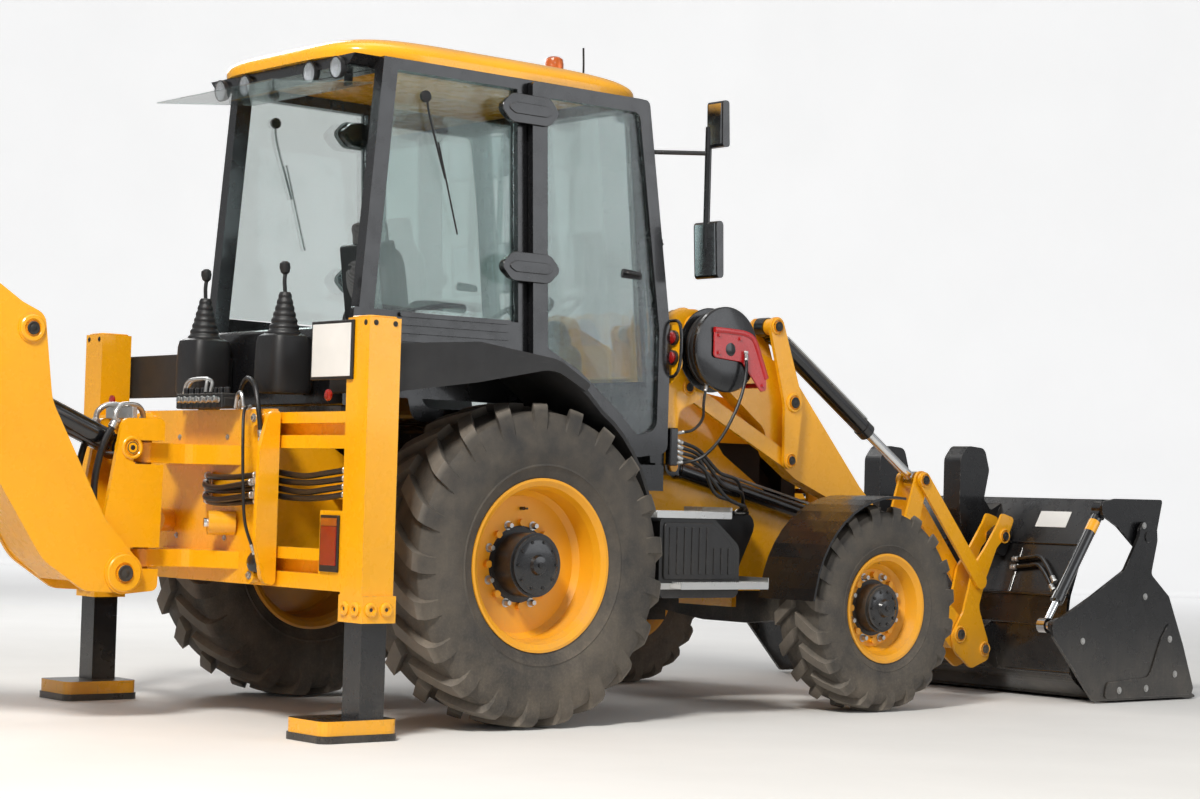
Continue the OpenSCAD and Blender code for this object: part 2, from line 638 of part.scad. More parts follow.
module controls() {
  color(black) {
    // front console with its wheel
    side([-170, 170]) outline([[760, floor_z + seat_gap, 0], [700, 1650, 40], [780, 1800, 40],
      [950, 1720, 60], [1000, floor_z + seat_gap, 0]]);
    bar([740, 0, 1740], [660, 0, 1860], 25);
    translate([655, 0, 1868]) rotate([0, -33, 0]) rotate_extrude() translate([190, 0]) circle(14, $fn = 8);
    translate([655, 0, 1868]) rotate([0, -33, 0]) cylinder(r = 40, h = 24, center = true);
    translate([655, 0, 1868]) rotate([0, -33, 0]) block([-14, -186, -5], [14, 186, 5]);
    // rear consoles with levers
    both() {
      translate([-880, 330, 0]) rotate_extrude() outline([
        [25, 1430, 0], [100, 1430, 10], [108, 1640, 10], [82, 1715, 30], [50, 1775, 10], [25, 1775, 0]]);
      translate([-880, 330, 1436]) cylinder(r = 26, h = 345);
      translate([-880, 330, 1770]) cylinder(r = 11, h = 200);
      translate([-880, 330, 1955]) cylinder(r = 22, h = 45);
      block([-870, 262, 1440], [-760 - seat_gap, 398, 1600]);
    }
  }
}

// Body panels

// Rear fender's outer face round the wheel and its thickness
fender_r = 752;
fender_t = 20;
fender_top = [[-830, 1620, 30], [-413, 1652, 150], [20, 1600, 200]];
function wheel_arc(r, a0, a1, n) = [for (i = [0:n]) let (q = polar([0, rear_tyre_r], r,
  a0 + (a1 - a0) * i / n)) [q[0], q[1], 0]];
module rear_fenders() {
  color(dark) both() {
    // top skin, narrower towards its front end
    difference() {
      side([cab_half_w + 0.5, 1112]) outline(concat(fender_top, wheel_arc(fender_r, 66, 20, 6),
        wheel_arc(fender_r - fender_t, 20, 66, 6), [for (i = [2, 1, 0]) fender_top[i] - [0, 26, 0]]));
      level(0, 2000) polygon([[200, 1200], [200, 1112], [720, 980], [720, 1200]]);
    }
    // outer skirt
    side([1100, 1120]) outline([[-830, 1420, 10], [-830, 1620, 20], [-413, 1652, 150], [26, 1600, 200],
      [210, 1500, 60],
                                [180, 1470, 10], [0, 1560, 200], [-413, 1480, 150]]);
    side([cab_half_w + 0.5, 1112]) outline([[-830, 1420, 5], [-830, 1620, 5], [-805, 1620, 5],
      [-805, 1420, 5]]);
  }
}

// Battery box on the right, fuel tank on the left, each with two steps
// Treads, rows [x0, x1, y0, y1, z]
treads = [[700, 1165, 690, 1020, 929], [800, 1350, 720, 1085, 606]];
module step_boxes() {
  color(black) both() {
    side([640, 1010]) outline([[730, 560, 40], [730, 930, 30], [1060, 930, 30], [1230, 800, 60],
      [1230, 560, 40]]);
    side([chassis_y[1] + seat_gap, 660]) outline([[780, 600, 20], [780, 900, 20], [1180, 800, 40],
      [1180, 600, 20]]);
    // side panel ahead of the box
    side([chassis_y[1] + seat_gap, 470]) outline([[1560, 700, 10], [1560, 950, 20], [1880, 950, 60],
      [1740, 680, 10]]);
    for (row = treads) difference() {
      block([row[0], row[2], row[4]], [row[1], row[3], row[4] + 20]);
      for (x = [row[0] + 30:52:row[1] - 50]) block([x, row[2] + 30, 0], [x + 26, row[3] - 25, 2000]);
    }
  }
}

reel = [1360, 1735];
module hose_reel() {
  color(black) {
    for (y = [[-640, -628], [-752, -740]]) pin(reel, 205, y);
    pin(reel, 135, [-745, -635]);
    // seat on the tower's post
    side([-628.5, -plate_out_y[1] - seat_gap]) outline([[1210, 1640, 20], [1210, 1790, 20],
      [1430, 1790, 40], [1430, 1660, 40]]);
    // guard across the outer flange
    side([-764, -751]) outline([
      [1170, 1690, 20], [1170, 1790, 20], [1460, 1795, 60], [1600, 1580, 20], [1560, 1500, 20],
      [1430, 1690, 40]]);
  }
}

// Rear frame

module rear_frame() {
  inner = tower_w / 2 - tower_t;
  guide = leg_w / 2 + seat_gap;
  color(yellow) {
    both() difference() {
      union() {
        translate([-leg_x, leg_y, 0]) {
          block([-tower_w / 2, -tower_w / 2, 560], [tower_w / 2, tower_w / 2, tower_top]);
          block([-tower_w / 2, -tower_w / 2 - 9, 475], [tower_w / 2 + 9, tower_w / 2 + 9, 585]);
        }
        // lamp bracket
        block([-1018, 862, 655], [-980, 1040, 925]);
      }
      translate([-leg_x, leg_y, 0]) {
        block([-inner, -inner, 560], [inner, inner, tower_top - 12]);
        block([-guide, -guide, 400], [guide, guide, 561]);
      }
    }
    // double rails with slots, rows [z0, z1]
    for (z = [[1180, 1235], [1285, 1332], [596, 662], [716, 765]])
      block([-1018, -leg_y + tower_w / 2 - 1, z[0]], [-970, leg_y - tower_w / 2 + 1, z[1]]);
    for (z = [[1180, 1332], [596, 765]])
      block([-972, -leg_y + tower_w / 2 - 1, z[0]], [-960 - seat_gap, leg_y - tower_w / 2 + 1, z[1]]);
  }
}

// Round lamps, rows [x, y, z, radius, depth, way they face]
lamp_rows = [
  [-735, -475, 2842, 46, 42, -1], [-735, -265, 2842, 46, 42, -1], [-735, 265, 2842, 46, 42, -1],
  [-735, 475, 2842, 46, 42, -1],
  [940, -430, 2852, 42, 40, 1], [940, 430, 2852, 42, 40, 1],
  [1100, -660, 1778, 34, 14, -1], [1100, -660, 1683, 34, 14, -1], [1100, 660, 1778, 34, 14, -1],
  [1100, 660, 1683, 34, 14, -1]];
module lamps() {
  color("white") {
    for (row = lamp_rows) translate([row[0] + row[5] * seat_gap, row[1], row[2]])
      rotate([0, 90 * row[5], 0]) cylinder(r1 = row[3] - 6, r2 = row[3], h = row[4]);
    // tail lamps on the rails
    both() block([-1028, 880, 675], [-1018 - seat_gap, 1010, 905]);
    // beacon
    translate([850, 0, beacon_z + seat_gap]) cylinder(r = 60, h = 25);
    translate([850, 0, beacon_z + 20]) cylinder(r = 48, h = 100);
  }
}

// Stabiliser leg with its pad, left side
module leg_left() {
  color(black) {
    slider = tower_w / 2 - tower_t - seat_gap;
    translate([-leg_x, leg_y, 0]) {
      block([-leg_w / 2, -leg_w / 2, 85], [leg_w / 2, leg_w / 2, 1235]);
      block([-slider, -slider, 1150], [slider, slider, 1220]);
    }
    translate([-leg_x - 70, leg_y - 50, 0]) {
      level(0, 30) outline([[-190, -140, 40], [190, -140, 40], [190, 150, 40], [-190, 150, 40]]);
      level(30, 88) outline([[-185, -135, 40], [185, -135, 40], [185, 145, 40], [-185, 145, 40]]);
    }
  }
}
module leg_right() { mirror([0, 1, 0]) leg_left(); }

// Backhoe

// Levels of the carriage's arms, [z0, z1]
arm_low = [660, 735];
arm_high = [1105, 1190];
slew_r = 66;
slew_pin_r = 34;

// Side-shift carriage with the arms that hold the slewing kingpost
module carriage() {
  color(yellow) difference() {
    union() {
      block([-1065, -545, 600], [-1034, 545, 1345]);
      both() side([540, 565]) outline([[-1034, 600, 20], [-1034, 1345, 20], [-1090, 1330, 60],
        [-1130, 1180, 120],
                                       [-1140, 800, 160], [-1100, 610, 60]]);
      // slide pads and the hooks that reach into the rails' slots, [z0, z1]
      both() {
        for (z = [[1181, 1331], [597, 764]]) block([-1035, 100, z[0]], [-1018 - seat_gap, 310, z[1]]);
        for (z = [[1240, 1280], [667, 711]]) block([-1035, 120, z[0]], [-985, 290, z[1]]);
      }
      for (z = [arm_low, arm_high]) {
        level(z[0], z[1]) outline([[-1060, -330, 0], [-1060, 330, 0], [-1175, slew_r, 60],
          [-slew_x, slew_r, 0],
                                   [-slew_x, -slew_r, 0], [-1175, -slew_r, 60]]);
        translate([-slew_x, 0, z[0]]) cylinder(r = slew_r, h = z[1] - z[0]);
      }
      // hydraulic clamps at the rails, rows [y, z]
      both() for (row = [[470, 1305], [470, 640]]) translate([-1060, row[0], row[1]]) rotate([0, -90, 0])
        cylinder(r = 34, h = 45);
      // slew rams, fixed in the carriage
      both() bar([-1060, 270, 855], [-1165, 222, 855], 52);
    }
    translate([-slew_x, 0, 0]) cylinder(r = slew_pin_r + pin_fit, h = 2000);
  }
}

// Slewing kingpost that carries the boom foot and the boom ram
module kingpost() {
  color(yellow) difference() {
    union() {
      both() side(kingpost_y) difference() {
        outline([[-1530, 1290, 40], [-1605, 860, 60], [-1610, 600, 60], [-1500, 545, 60], [-1340, 560, 30],
          [-1325, 1295, 30]]);
        // windows for the carriage's arms
        for (z = [arm_low, arm_high]) polygon([[-1475, z[0] - 8], [-1475, z[1] + 8], [-1300, z[1] + 8],
          [-1300, z[0] - 8]]);
      }
      // lugs above and below each arm, [z0, z1]
      for (z = [[1198, 1240], [1055, 1097], [743, 785], [600, 652]]) {
        level(z[0], z[1]) outline([[-1420, -96, 0], [-1420, 96, 0], [-1330, 96, 20], [-1330, -96, 20]]);
        translate([-slew_x, 0, z[0]]) cylinder(r = slew_r + 6, h = z[1] - z[0]);
      }
      // back wall
      block([-1460, -96, 785], [-1430, 96, 1060]);
      translate([-slew_x, 0, 590]) cylinder(r = slew_pin_r, h = 670);
      translate([-slew_x, 0, 1240]) cylinder(r = 50, h = 22);
      pin(boom_foot, 35, [-172, 172]);
      pin(boom_foot, 70, [-kingpost_y[1], kingpost_y[1]]);
      pin(boom_ram_base, 28, [-kingpost_y[1] - 8, kingpost_y[1] + 8]);
      both() pin(boom_ram_base, 52, [62, kingpost_y[0] + 1]);
    }
  }
}

module boom() {
  foot_r = 88;
  plate = [
    [-1455, 690, 40], [-1617, 862, 100], [-1880, 1347, 200], [-1925, 1700, 60], [-2030, 1745, 80],
    [-2420, 2000, 300],
    [-3050, 2345, 300], [-3500, 2560, 100], [-3640, 2500, 100], [-3620, 2340, 100], [-3300, 2130, 300],
    [-2800, 1600, 400], [-2400, 1290, 300], [-2110, 1010, 200], [-1900, 690, 200], [-1700, 560, 80],
    [-1510, 550, 60], [-1455, 605, 40]];
  color(yellow) difference() {
    union() {
      both() {
        side(boom_y) outline(plate);
        // pin bosses
        pin(boom_foot, foot_r, [boom_y[0], boom_y[1] + 8]);
        pin(dipper_pivot, 80, [boom_y[0], boom_y[1] + 6]);
        pin(dipper_ram_base, 62, [62, boom_y[1] + 6]);
        pin(boom_ram_eye, 62, [62, boom_y[0] + 1]);
        pin(boom_ram_eye, 40, [boom_y[1] - 1, boom_y[1] + 8]);
      }
      pin(dipper_ram_base, 28, [-boom_y[1] - 14, boom_y[1] + 14]);
      pin(dipper_pivot, 35, [-boom_y[1] - 14, boom_y[1] + 14]);
      // outer web, from the foot along the lower edge, slotted where the boom ram swings
      difference() {
        side([-boom_y[0] - 1, boom_y[0] + 1]) outline([
          [-1760, 600, 20], [-1900, 700, 200], [-2110, 1020, 200], [-2400, 1300, 300], [-2790, 1610, 200],
          [-3250, 2100, 30], [-3235, 2112, 20], [-2780, 1630, 200], [-2390, 1318, 300], [-2094, 1032, 200],
          [-1890, 716, 200], [-1745, 612, 20]]);
        block([-3060, -68, 1000], [-2180, 68, 2000]);
      }
      // channel floor under the dipper ram
      side([-boom_y[0] - 1, boom_y[0] + 1]) outline([
        [-2270, 1644, 20], [-2750, 2035, 200], [-3060, 2260, 20], [-3052, 2275, 20], [-2740, 2052, 200],
        [-2258, 1658, 20]]);
    }
    pin(boom_foot, 35 + pin_fit, [-300, 300]);
  }
}

module dipper() {
  plate = [
    [-3480, 2950, 60], [-3640, 2950, 60], [-3660, 2700, 100], [-3790, 2450, 60], [-3800, 2280, 60],
    [-3770, 2120, 200], [-3800, 1700, 300],
    [-3765, 1480, 100], [-3750, 1380, 60], [-3750, 1080, 40], [-3640, 1080, 40], [-3600, 1250, 200],
    [-3440, 2150, 300],
    [-3400, 2450, 80], [-3440, 2600, 100], [-3500, 2750, 80]];
  nose_y = 64;
  color(yellow) difference() {
    union() {
      both() {
        side(dipper_y) outline(plate);
        pin(dipper_ram_eye, 60, [58, dipper_y[1]]);
        pin(bucket_ram_base, 50, [50, dipper_y[1] + 5]);
        pin(lever_pivot, 50, [dipper_y[0], 132]);
      }
      // box between the plates, set back where the bucket ram and its link swing in
      side([-dipper_y[0] - 1, dipper_y[0] + 1]) outline([
        [-3680, 2260, 20], [-3682, 2120, 100], [-3730, 1700, 200], [-3712, 1560, 60], [-3700, 1300, 20],
        [-3690, 1080, 20],
        [-3640, 1090, 20], [-3604, 1250, 200], [-3444, 2150, 300], [-3410, 2420, 60], [-3500, 2560, 60],
        [-3640, 2520, 60], [-3640, 2300, 60]]);
      // nose
      side([-nose_y, nose_y]) outline([
        [-3748, 1300, 20], [-3748, 1080, 60], [-3800, 960, 50], [-3790, 880, 40], [-3700, 870, 40],
        [-3675, 960, 60],
        [-3620, 1160, 60], [-3620, 1300, 20]]);
      pin(bucket_ram_base, 24, [-dipper_y[1] - 12, dipper_y[1] + 12]);
      pin(lever_pivot, 26, [-166, 166]);
    }
    pin(dipper_pivot, 35 + pin_fit, [-300, 300]);
    pin(hoe_pivot, 26 + pin_fit, [-300, 300]);
  }
}

module boom_barrel() { color(black) ram_barrel(boom_ram_base, boom_ram_eye, 0, 55, 32, 1020, 112, 28); }
module boom_rod() { color(steel) ram_rod(boom_ram_base, boom_ram_eye, 0, 32, 300, 110, 28); }
module dipper_barrel() { color(black) ram_barrel(dipper_ram_base, dipper_ram_eye, 0, 52, 30, 1290, 112, 28); }
module dipper_rod() { color(steel) ram_rod(dipper_ram_base, dipper_ram_eye, 0, 30, 760, 104, 28); }
module bucket_barrel() { color(black) ram_barrel(bucket_ram_base, lever_pin, 0, 45, 26, 655, 88, 24); }
module bucket_rod() { color(steel) ram_rod(bucket_ram_base, lever_pin, 0, 26, 312, 80, 24); }

module bucket_lever() {
  color(yellow) both() {
    difference() {
      side([138, 154]) link(lever_pivot, lever_pin, 48, 44);
      pin(lever_pivot, 26 + pin_fit, [0, 300]);
    }
    pin(lever_pin, 24, [62, 160]);
  }
}
module bucket_link() {
  color(yellow) both() difference() {
    side([70, 86]) link(lever_pin, hoe_link_pin, 42, 38);
    pin(lever_pin, 24 + pin_fit, [0, 300]);
    pin(hoe_link_pin, 24 + pin_fit, [0, 300]);
  }
}

// Hoe bucket in the side view, about its pivot; mouth towards the machine
module hoe_bucket() {
  translate([hoe_pivot[0], 0, hoe_pivot[1]]) {
    shell = [[-270, -110, 60], [-410, -280, 120], [-400, -520, 160], [-200, -720, 160], [120, -760, 20]];
    color(yellow) {
      difference() {
        side([-hoe_half_w, hoe_half_w]) outline(concat(shell, [[280, -740, 10], [60, -340, 40],
          [-20, -160, 40]]));
        side([-hoe_half_w + 14, hoe_half_w - 14]) outline([[-262, -130, 50], [-393, -288, 110],
          [-382, -515, 150], [-190, -700, 150],
                                                          [120, -742, 0], [330, -742, 0], [80, -250, 0],
                                                          [60, -130, 0]]);
      }
      // ears
      both() side([112, 132]) outline([
        [-320, -170, 20], [-275, 20, 50], [-200, 40, 40], [-50, 55, 40], [55, 50, 40], [50, -60, 40],
        [-30, -180, 20]]);
      pin([0, 0], 26, [-142, 142]);
      both() pin(hoe_link_pin - hoe_pivot, 24, [91, 142]);
      // teeth
      for (k = [-2:2]) translate([0, k * 108, 0]) side([-26, 26]) outline([[90, -775, 0], [90, -738, 0],
        [300, -722, 0], [400, -745, 0], [300, -775, 0]]);
    }
  }
}

// Front loader

module loader_arms() {
  color(yellow) {
    both() difference() {
      union() {
        side(arm_y) outline([
          [1170, 1830, 70], [1220, 1930, 70], [1330, 1935, 60], [1900, 1700, 100], [1990, 1655, 60],
          [2110, 1525, 60], [2500, 1100, 60],
          [2900, 760, 100], [3330, 400, 50], [3350, 290, 50], [3240, 250, 50], [2880, 605, 100],
          [2450, 970, 120],
          [2030, 1130, 60], [1860, 1240, 40], [1800, 1380, 80], [1500, 1590, 100], [1250, 1740, 60]]);
        pin(lift_eye, 55, [446, arm_y[0] + 1]);
      }
      pin(arm_pivot, 35 + pin_fit, [300, 700]);
      pin(level_pivot, 28 + pin_fit, [300, 700]);
      pin(tip_pivot, 28 + pin_fit, [300, 700]);
      pin(hitch_pivot, 28 + pin_fit, [300, 700]);
    }
    // cross tube ahead of the bonnet
    bar([2665, -arm_y[0] - 1, 720], [2665, arm_y[0] + 1, 720], 76);
  }
}

module level_levers() {
  color(yellow) both() {
    side(plate_out_y) {
      link(level_pivot, level_top, 62, 48);
      link(level_pivot, level_low, 62, 44);
    }
    side(plate_in_y) link(level_pivot, level_top, 60, 46);
    pin(level_top, 42, [plate_in_y[0], 486]);
    pin(level_top, 42, [550, plate_out_y[1]]);
    pin(level_top, 25, [plate_in_y[0] - 8, plate_out_y[1] + 10]);
    pin(level_pivot, 28, [plate_in_y[0] - 8, plate_out_y[1] + 10]);
    pin(level_low, 22, [level_link_y[0] - 2, plate_out_y[1] + 10]);
  }
}

module level_links() {
  color(yellow) both() difference() {
    side(level_link_y) link(level_link_pin, level_low, 40, 40);
    pin(level_link_pin, 22 + pin_fit, [300, 700]);
    pin(level_low, 22 + pin_fit, [300, 700]);
  }
}

module lift_barrels() { color(black) both() ram_barrel(lift_base, lift_eye, lift_ram_y, 42, 26, 1180, 78,
  25); }
module lift_rods() { color(steel) both() ram_rod(lift_base, lift_eye, lift_ram_y, 26, 140, 60, 25); }
module crowd_barrels() { color(black) both() ram_barrel(level_top, tip_top, crowd_ram_y, 42, 25, 905, 62,
  25); }
module crowd_rods() { color(steel) both() ram_rod(level_top, tip_top, crowd_ram_y, 25, 290, 60, 25); }

module tip_levers() {
  color(yellow) both() {
    for (y = [plate_in_y, tip_out_y]) side(y) link(tip_pivot, tip_top, 56, 48);
    pin(tip_pivot, 28, [plate_in_y[0] - 8, tip_out_y[1] + 8]);
    pin(tip_top, 24, [tip_link_in_y[0] - 6, plate_in_y[1] + 6]);
    pin(tip_top, 24, [tip_out_y[0] - 6, tip_link_out_y[1] + 8]);
  }
}

module tip_links() {
  color(yellow) both() for (y = [tip_link_in_y, tip_link_out_y]) difference() {
    side(y) link(tip_top, hitch_link, 42, 42);
    pin(tip_top, 24 + pin_fit, [300, 700]);
  }
}

// Y-shaped hitch plates that hook onto the bucket
module hitch() {
  color(yellow) both() {
    for (y = [plate_in_y, [566, 581]]) side(y) outline([
      [3215, 330, 50], [3300, 450, 60], [3345, 590, 60], [3370, 690, 50], [3470, 800, 60], [3570, 930, 30],
      [3600, 985, 20],
      [3700, 960, 20], [3660, 880, 30], [3560, 800, 60], [3480, 640, 60], [3420, 480, 80], [3500, 300, 60],
      [3520, 200, 40],
      [3370, 150, 40], [3240, 240, 50]]);
    pin(hitch_pivot, 28, [plate_in_y[0] - 8, 589]);
    pin([3619, 861], 24, [plate_in_y[0] - 8, 589]);
    pin([3475, 253], 24, [plate_in_y[0] - 8, 589]);
  }
  color(yellow) bar([3420, -plate_in_y[0], 330], [3420, plate_in_y[0], 330], 45);
}

// Fixed rear part of the clam bucket
module bucket_back() {
  color(black) {
    side([135 - bucket_half_w, bucket_half_w - 135]) outline([
      [3870, 1075, 10], [3700, 800, 200], [3600, 560, 200], [3570, 360, 200], [3640, 120, 120],
      [3780, 30, 5], [3790, 50, 5],
      [3665, 140, 110], [3592, 365, 190], [3622, 555, 190], [3720, 790, 190], [3890, 1075, 10]]);
    // beam along the top, seated against the back and the cheeks
    side([seat_gap - cheek_y[0], cheek_y[0] - seat_gap]) outline([
      [3890 + seat_gap, 985, 10], [3890 + seat_gap, 1075, 10], [4000, 1075, 10], [4000, 985, 10]]);
    both() {
      // cheek with the clam's pivot and the ram's upper pin
      side(cheek_y) outline([[3750, 990, 30], [3740, 1060, 30], [3860, 1080, 20], [4265, 1082, 15],
        [4190, 800, 40], [4090, 780, 40], [3880, 930, 60]]);
      pin(clam_base, 22, [cheek_y[0] - 75, cheek_y[0] + 1]);
      pin(clam_pivot, 30, [cheek_y[0], bucket_half_w + 6]);
      // ears between the hitch plates
      side([490, 545]) difference() {
        outline([[3740, 900, 40], [3640, 920, 30], [3575, 880, 30], [3575, 820, 30], [3660, 720, 40]]);
        hole([3619, 861], 24 + seat_gap);
      }
      side([490, 545]) difference() {
        outline([[3590, 420, 20], [3440, 320, 30], [3430, 200, 30], [3520, 190, 30], [3640, 130, 20]]);
        hole([3475, 253], 24 + seat_gap);
      }
      // folded fork heels
      side([240, 360]) outline([[3560, 700, 10], [3500, 1000, 30], [3500, 1280, 60], [3560, 1350, 50],
        [3700, 1340, 50], [3740, 1220, 40],
                                [3700, 1060, 30], [3760, 1000, 20], [3870, 1050, 0], [3700, 800, 0],
                                [3650, 700, 0]]);
    }
  }
}

// Moving jaw with its floor, sides and teeth
module bucket_clam() {
  color(black) {
    both() difference() {
      side([bucket_half_w - 18, bucket_half_w]) outline([
        [4020, 880, 60], [4040, 960, 60], [4170, 960, 60], [4180, 860, 60], [4130, 680, 30],
        [4290, 560, 40], [4420, 300, 60], [4520, 60, 10],
        [4500, 12, 5], [3660, 12, 30], [3320, 360, 40], [3310, 440, 40], [3400, 460, 40], [3620, 560, 100],
        [3900, 700, 60]]);
      pin(clam_pivot, 30 + pin_fit, [bucket_half_w - 200, bucket_half_w + 200]);
    }
    both() pin(clam_eye, 30, [bucket_half_w - 47, bucket_half_w - 17]);
    // floor and lip
    side([-bucket_half_w + 1, bucket_half_w - 1]) outline([[3810, 14, 0], [3800, 34, 4], [4300, 40, 20],
      [4520, 14, 0]]);
    // teeth
    for (k = [-4:4]) translate([0, k * clam_tooth_gap, 0]) side([-38, 38]) outline([[4420, 12, 0],
      [4420, 62, 5], [4500, 46, 10], [4560, 16, 4], [4555, 8, 4], [4500, 0, 10]]);
  }
}

module clam_barrels() { color(black) both() ram_barrel(clam_base, clam_eye, clam_ram_y, 30, 18, 600, 56,
  22); }
module clam_rods() { color(steel) both() ram_rod(clam_base, clam_eye, clam_ram_y, 18, 90, 50, 22); }

// Assembly

module place() { translate([frame_x, 0, 0]) children(); }
place() chassis_frame();
place() loader_towers();
place() engine_block();
place() rear_axle();
place() front_axle();
place() cab_frame();
place() cab_roof();
place() cab_glass();
place() seat();
place() controls();
place() rear_fenders();
place() step_boxes();
place() hose_reel();
place() rear_frame();
place() lamps();
place() exhaust();
place() door_right();
place() door_left();
place() door_glass_right();
place() door_glass_left();
place() bonnet();
place() knuckle_right();
place() knuckle_left();
place() rear_tyre_right();
place() rear_rim_right();
place() rear_tyre_left();
place() rear_rim_left();
place() front_tyre_right();
place() front_rim_right();
place() front_tyre_left();
place() front_rim_left();
place() loader_arms();
place() level_levers();
place() level_links();
place() lift_barrels();
place() lift_rods();
place() crowd_barrels();
place() crowd_rods();
place() tip_levers();
place() tip_links();
place() hitch();
place() bucket_back();
place() bucket_clam();
place() clam_barrels();
place() clam_rods();
place() leg_right();
place() leg_left();
place() carriage();
place() kingpost();
place() boom();
place() boom_barrel();
place() boom_rod();
place() dipper();
place() dipper_barrel();
place() dipper_rod();
place() bucket_lever();
place() bucket_link();
place() bucket_barrel();
place() bucket_rod();
place() hoe_bucket();
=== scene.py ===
"""Looks of a backhoe loader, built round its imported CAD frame.

Shapes are given in millimetres from the rear axle: x forward, y left, z up from the ground.
"""

import bmesh
import bpy
import numpy as np
from mathutils import Matrix


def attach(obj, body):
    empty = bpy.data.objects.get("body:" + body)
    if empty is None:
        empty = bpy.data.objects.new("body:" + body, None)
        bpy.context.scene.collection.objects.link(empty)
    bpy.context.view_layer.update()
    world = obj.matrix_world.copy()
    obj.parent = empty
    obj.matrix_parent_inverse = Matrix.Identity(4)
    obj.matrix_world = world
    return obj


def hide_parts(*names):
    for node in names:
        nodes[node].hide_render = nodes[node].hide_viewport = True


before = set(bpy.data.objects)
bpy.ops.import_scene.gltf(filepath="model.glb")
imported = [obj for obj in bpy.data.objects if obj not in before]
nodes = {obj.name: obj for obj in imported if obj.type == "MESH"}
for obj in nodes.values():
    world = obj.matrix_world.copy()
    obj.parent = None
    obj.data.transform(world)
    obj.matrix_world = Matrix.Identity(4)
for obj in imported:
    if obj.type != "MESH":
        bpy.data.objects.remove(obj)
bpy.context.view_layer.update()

# Rear axle's place along the frame, in metres
AXLE_X = -0.203

# Camera at the machine's rear right, as the photograph was taken: metres, radians, and the lens in
# millimetres
EYE = (-6.69643 + AXLE_X, -9.33874, 1.00771)
YAW, PITCH, ROLL = 0.702304, 0.040022, 0.028016
LENS = 73.62
FAR_CLIP = 200

# Centres of the left wheels, the beacon's place in x and y, the sides with the sign of y, and two
# directions
REAR_WHEEL = (0, 880, 708)
FRONT_WHEEL = (2170, 935, 506)
BEACON = (850, 0)
SIDES = (("right", -1), ("left", 1))
UP, BACK = (0, 0, 1), (-1, 0, 0)


def view_camera():
    """Axes: ahead from yaw and pitch, right level with the ground, both then turned by the roll."""
    ahead = np.array([np.sin(YAW) * np.cos(PITCH), np.cos(YAW) * np.cos(PITCH), np.sin(PITCH)])
    right = np.cross(ahead, [0, 0, 1])
    right /= np.linalg.norm(right)
    up = np.cross(right, ahead)
    tilted = right * np.cos(ROLL) + up * np.sin(ROLL)
    raised = -right * np.sin(ROLL) + up * np.cos(ROLL)
    data = bpy.data.cameras.new("view")
    data.lens = LENS
    data.clip_end = FAR_CLIP
    camera = bpy.data.objects.new("view", data)
    bpy.context.scene.collection.objects.link(camera)
    place = Matrix(np.column_stack([tilted, raised, -ahead]).tolist()).to_4x4()
    place.translation = EYE
    camera.matrix_world = place
    bpy.context.scene.camera = camera


view_camera()


# Shapes: each is (points in millimetres, list of faces)


def joined(shapes):
    """One shape from several: points one after another, face numbers moved up by the points before."""
    points, faces, start = [], [], 0
    for p, f in shapes:
        points.append(np.asarray(p, float))
        faces += [tuple(int(i) + start for i in face) for face in f]
        start += len(p)
    return np.vstack(points), faces


def skin(points, closed_u=True, closed_v=False, cap=False):
    """Faces over a grid of points [v, u]: each cell is one quad, and cap shuts the first and last rows."""
    rows, cols = points.shape[:2]
    number = np.arange(rows * cols).reshape(rows, cols)
    if closed_u:
        number = np.hstack([number, number[:, :1]])
    if closed_v:
        number = np.vstack([number, number[:1]])
    quads = np.stack([number[:-1, :-1], number[:-1, 1:], number[1:, 1:], number[1:, :-1]],
                     axis=-1).reshape(-1, 4)
    faces = [tuple(q) for q in quads.tolist()]
    if cap:
        faces.append(tuple(range(cols - 1, -1, -1)))
        faces.append(tuple(range((rows - 1) * cols, rows * cols)))
    return points.reshape(-1, 3), faces


def axes_of(axis):
    """Two unit vectors across an axis, and the axis itself, as columns."""
    w = np.array(axis, float)
    w /= np.linalg.norm(w)
    u = np.cross([0, 0, 1] if abs(w[2]) < 0.9 else [1, 0, 0], w)
    u /= np.linalg.norm(u)
    return np.column_stack([u, np.cross(w, u), w])


def turned(profile, at, axis=(0, 0, 1), sides=32, hollow=False):
    """A profile of [radius, height] turned about an axis: (r cos t, r sin t, h). It is shut at both ends,
    or where hollow its last row meets its first, as in a ring."""
    profile = np.array(profile, float)
    t = np.linspace(0, 2 * np.pi, sides, endpoint=False)
    r = np.maximum(profile[:, :1], 0.05)
    ring = np.stack([r * np.cos(t), r * np.sin(t), np.repeat(profile[:, 1:], sides, axis=1)], axis=-1)
    return skin(ring @ axes_of(axis).T + np.array(at, float), closed_v=hollow, cap=not hollow)


def carried(path, section, scale=None):
    """A closed section carried along a path: at each point it stands across the path's direction,
    turned from the last by the least turn that brings one direction to the next."""
    path = np.array(path, float)
    ahead = np.gradient(path, axis=0)
    ahead /= np.linalg.norm(ahead, axis=1)[:, None]
    across = axes_of(ahead[0])[:, 0]
    sides = []
    for a in ahead:
        across = across - a * (across @ a)
        across /= np.linalg.norm(across)
        sides.append(across)
    sides = np.array(sides)
    rise = np.cross(ahead, sides)
    scale = np.ones(len(path)) if scale is None else np.asarray(scale, float)
    s = np.array(section, float)[None] * scale[:, None, None]
    return skin(path[:, None] + s[..., :1] * sides[:, None] + s[..., 1:] * rise[:, None], cap=True)


def ring_of(radius, sides=10):
    """Points of a circle: radius times (cos t, sin t)."""
    t = np.linspace(0, 2 * np.pi, sides, endpoint=False)
    return np.stack([radius * np.cos(t), radius * np.sin(t)], axis=1)


def power(a, e):
    """a to the power e, with a's own sign kept."""
    return np.sign(a) * np.abs(a) ** e


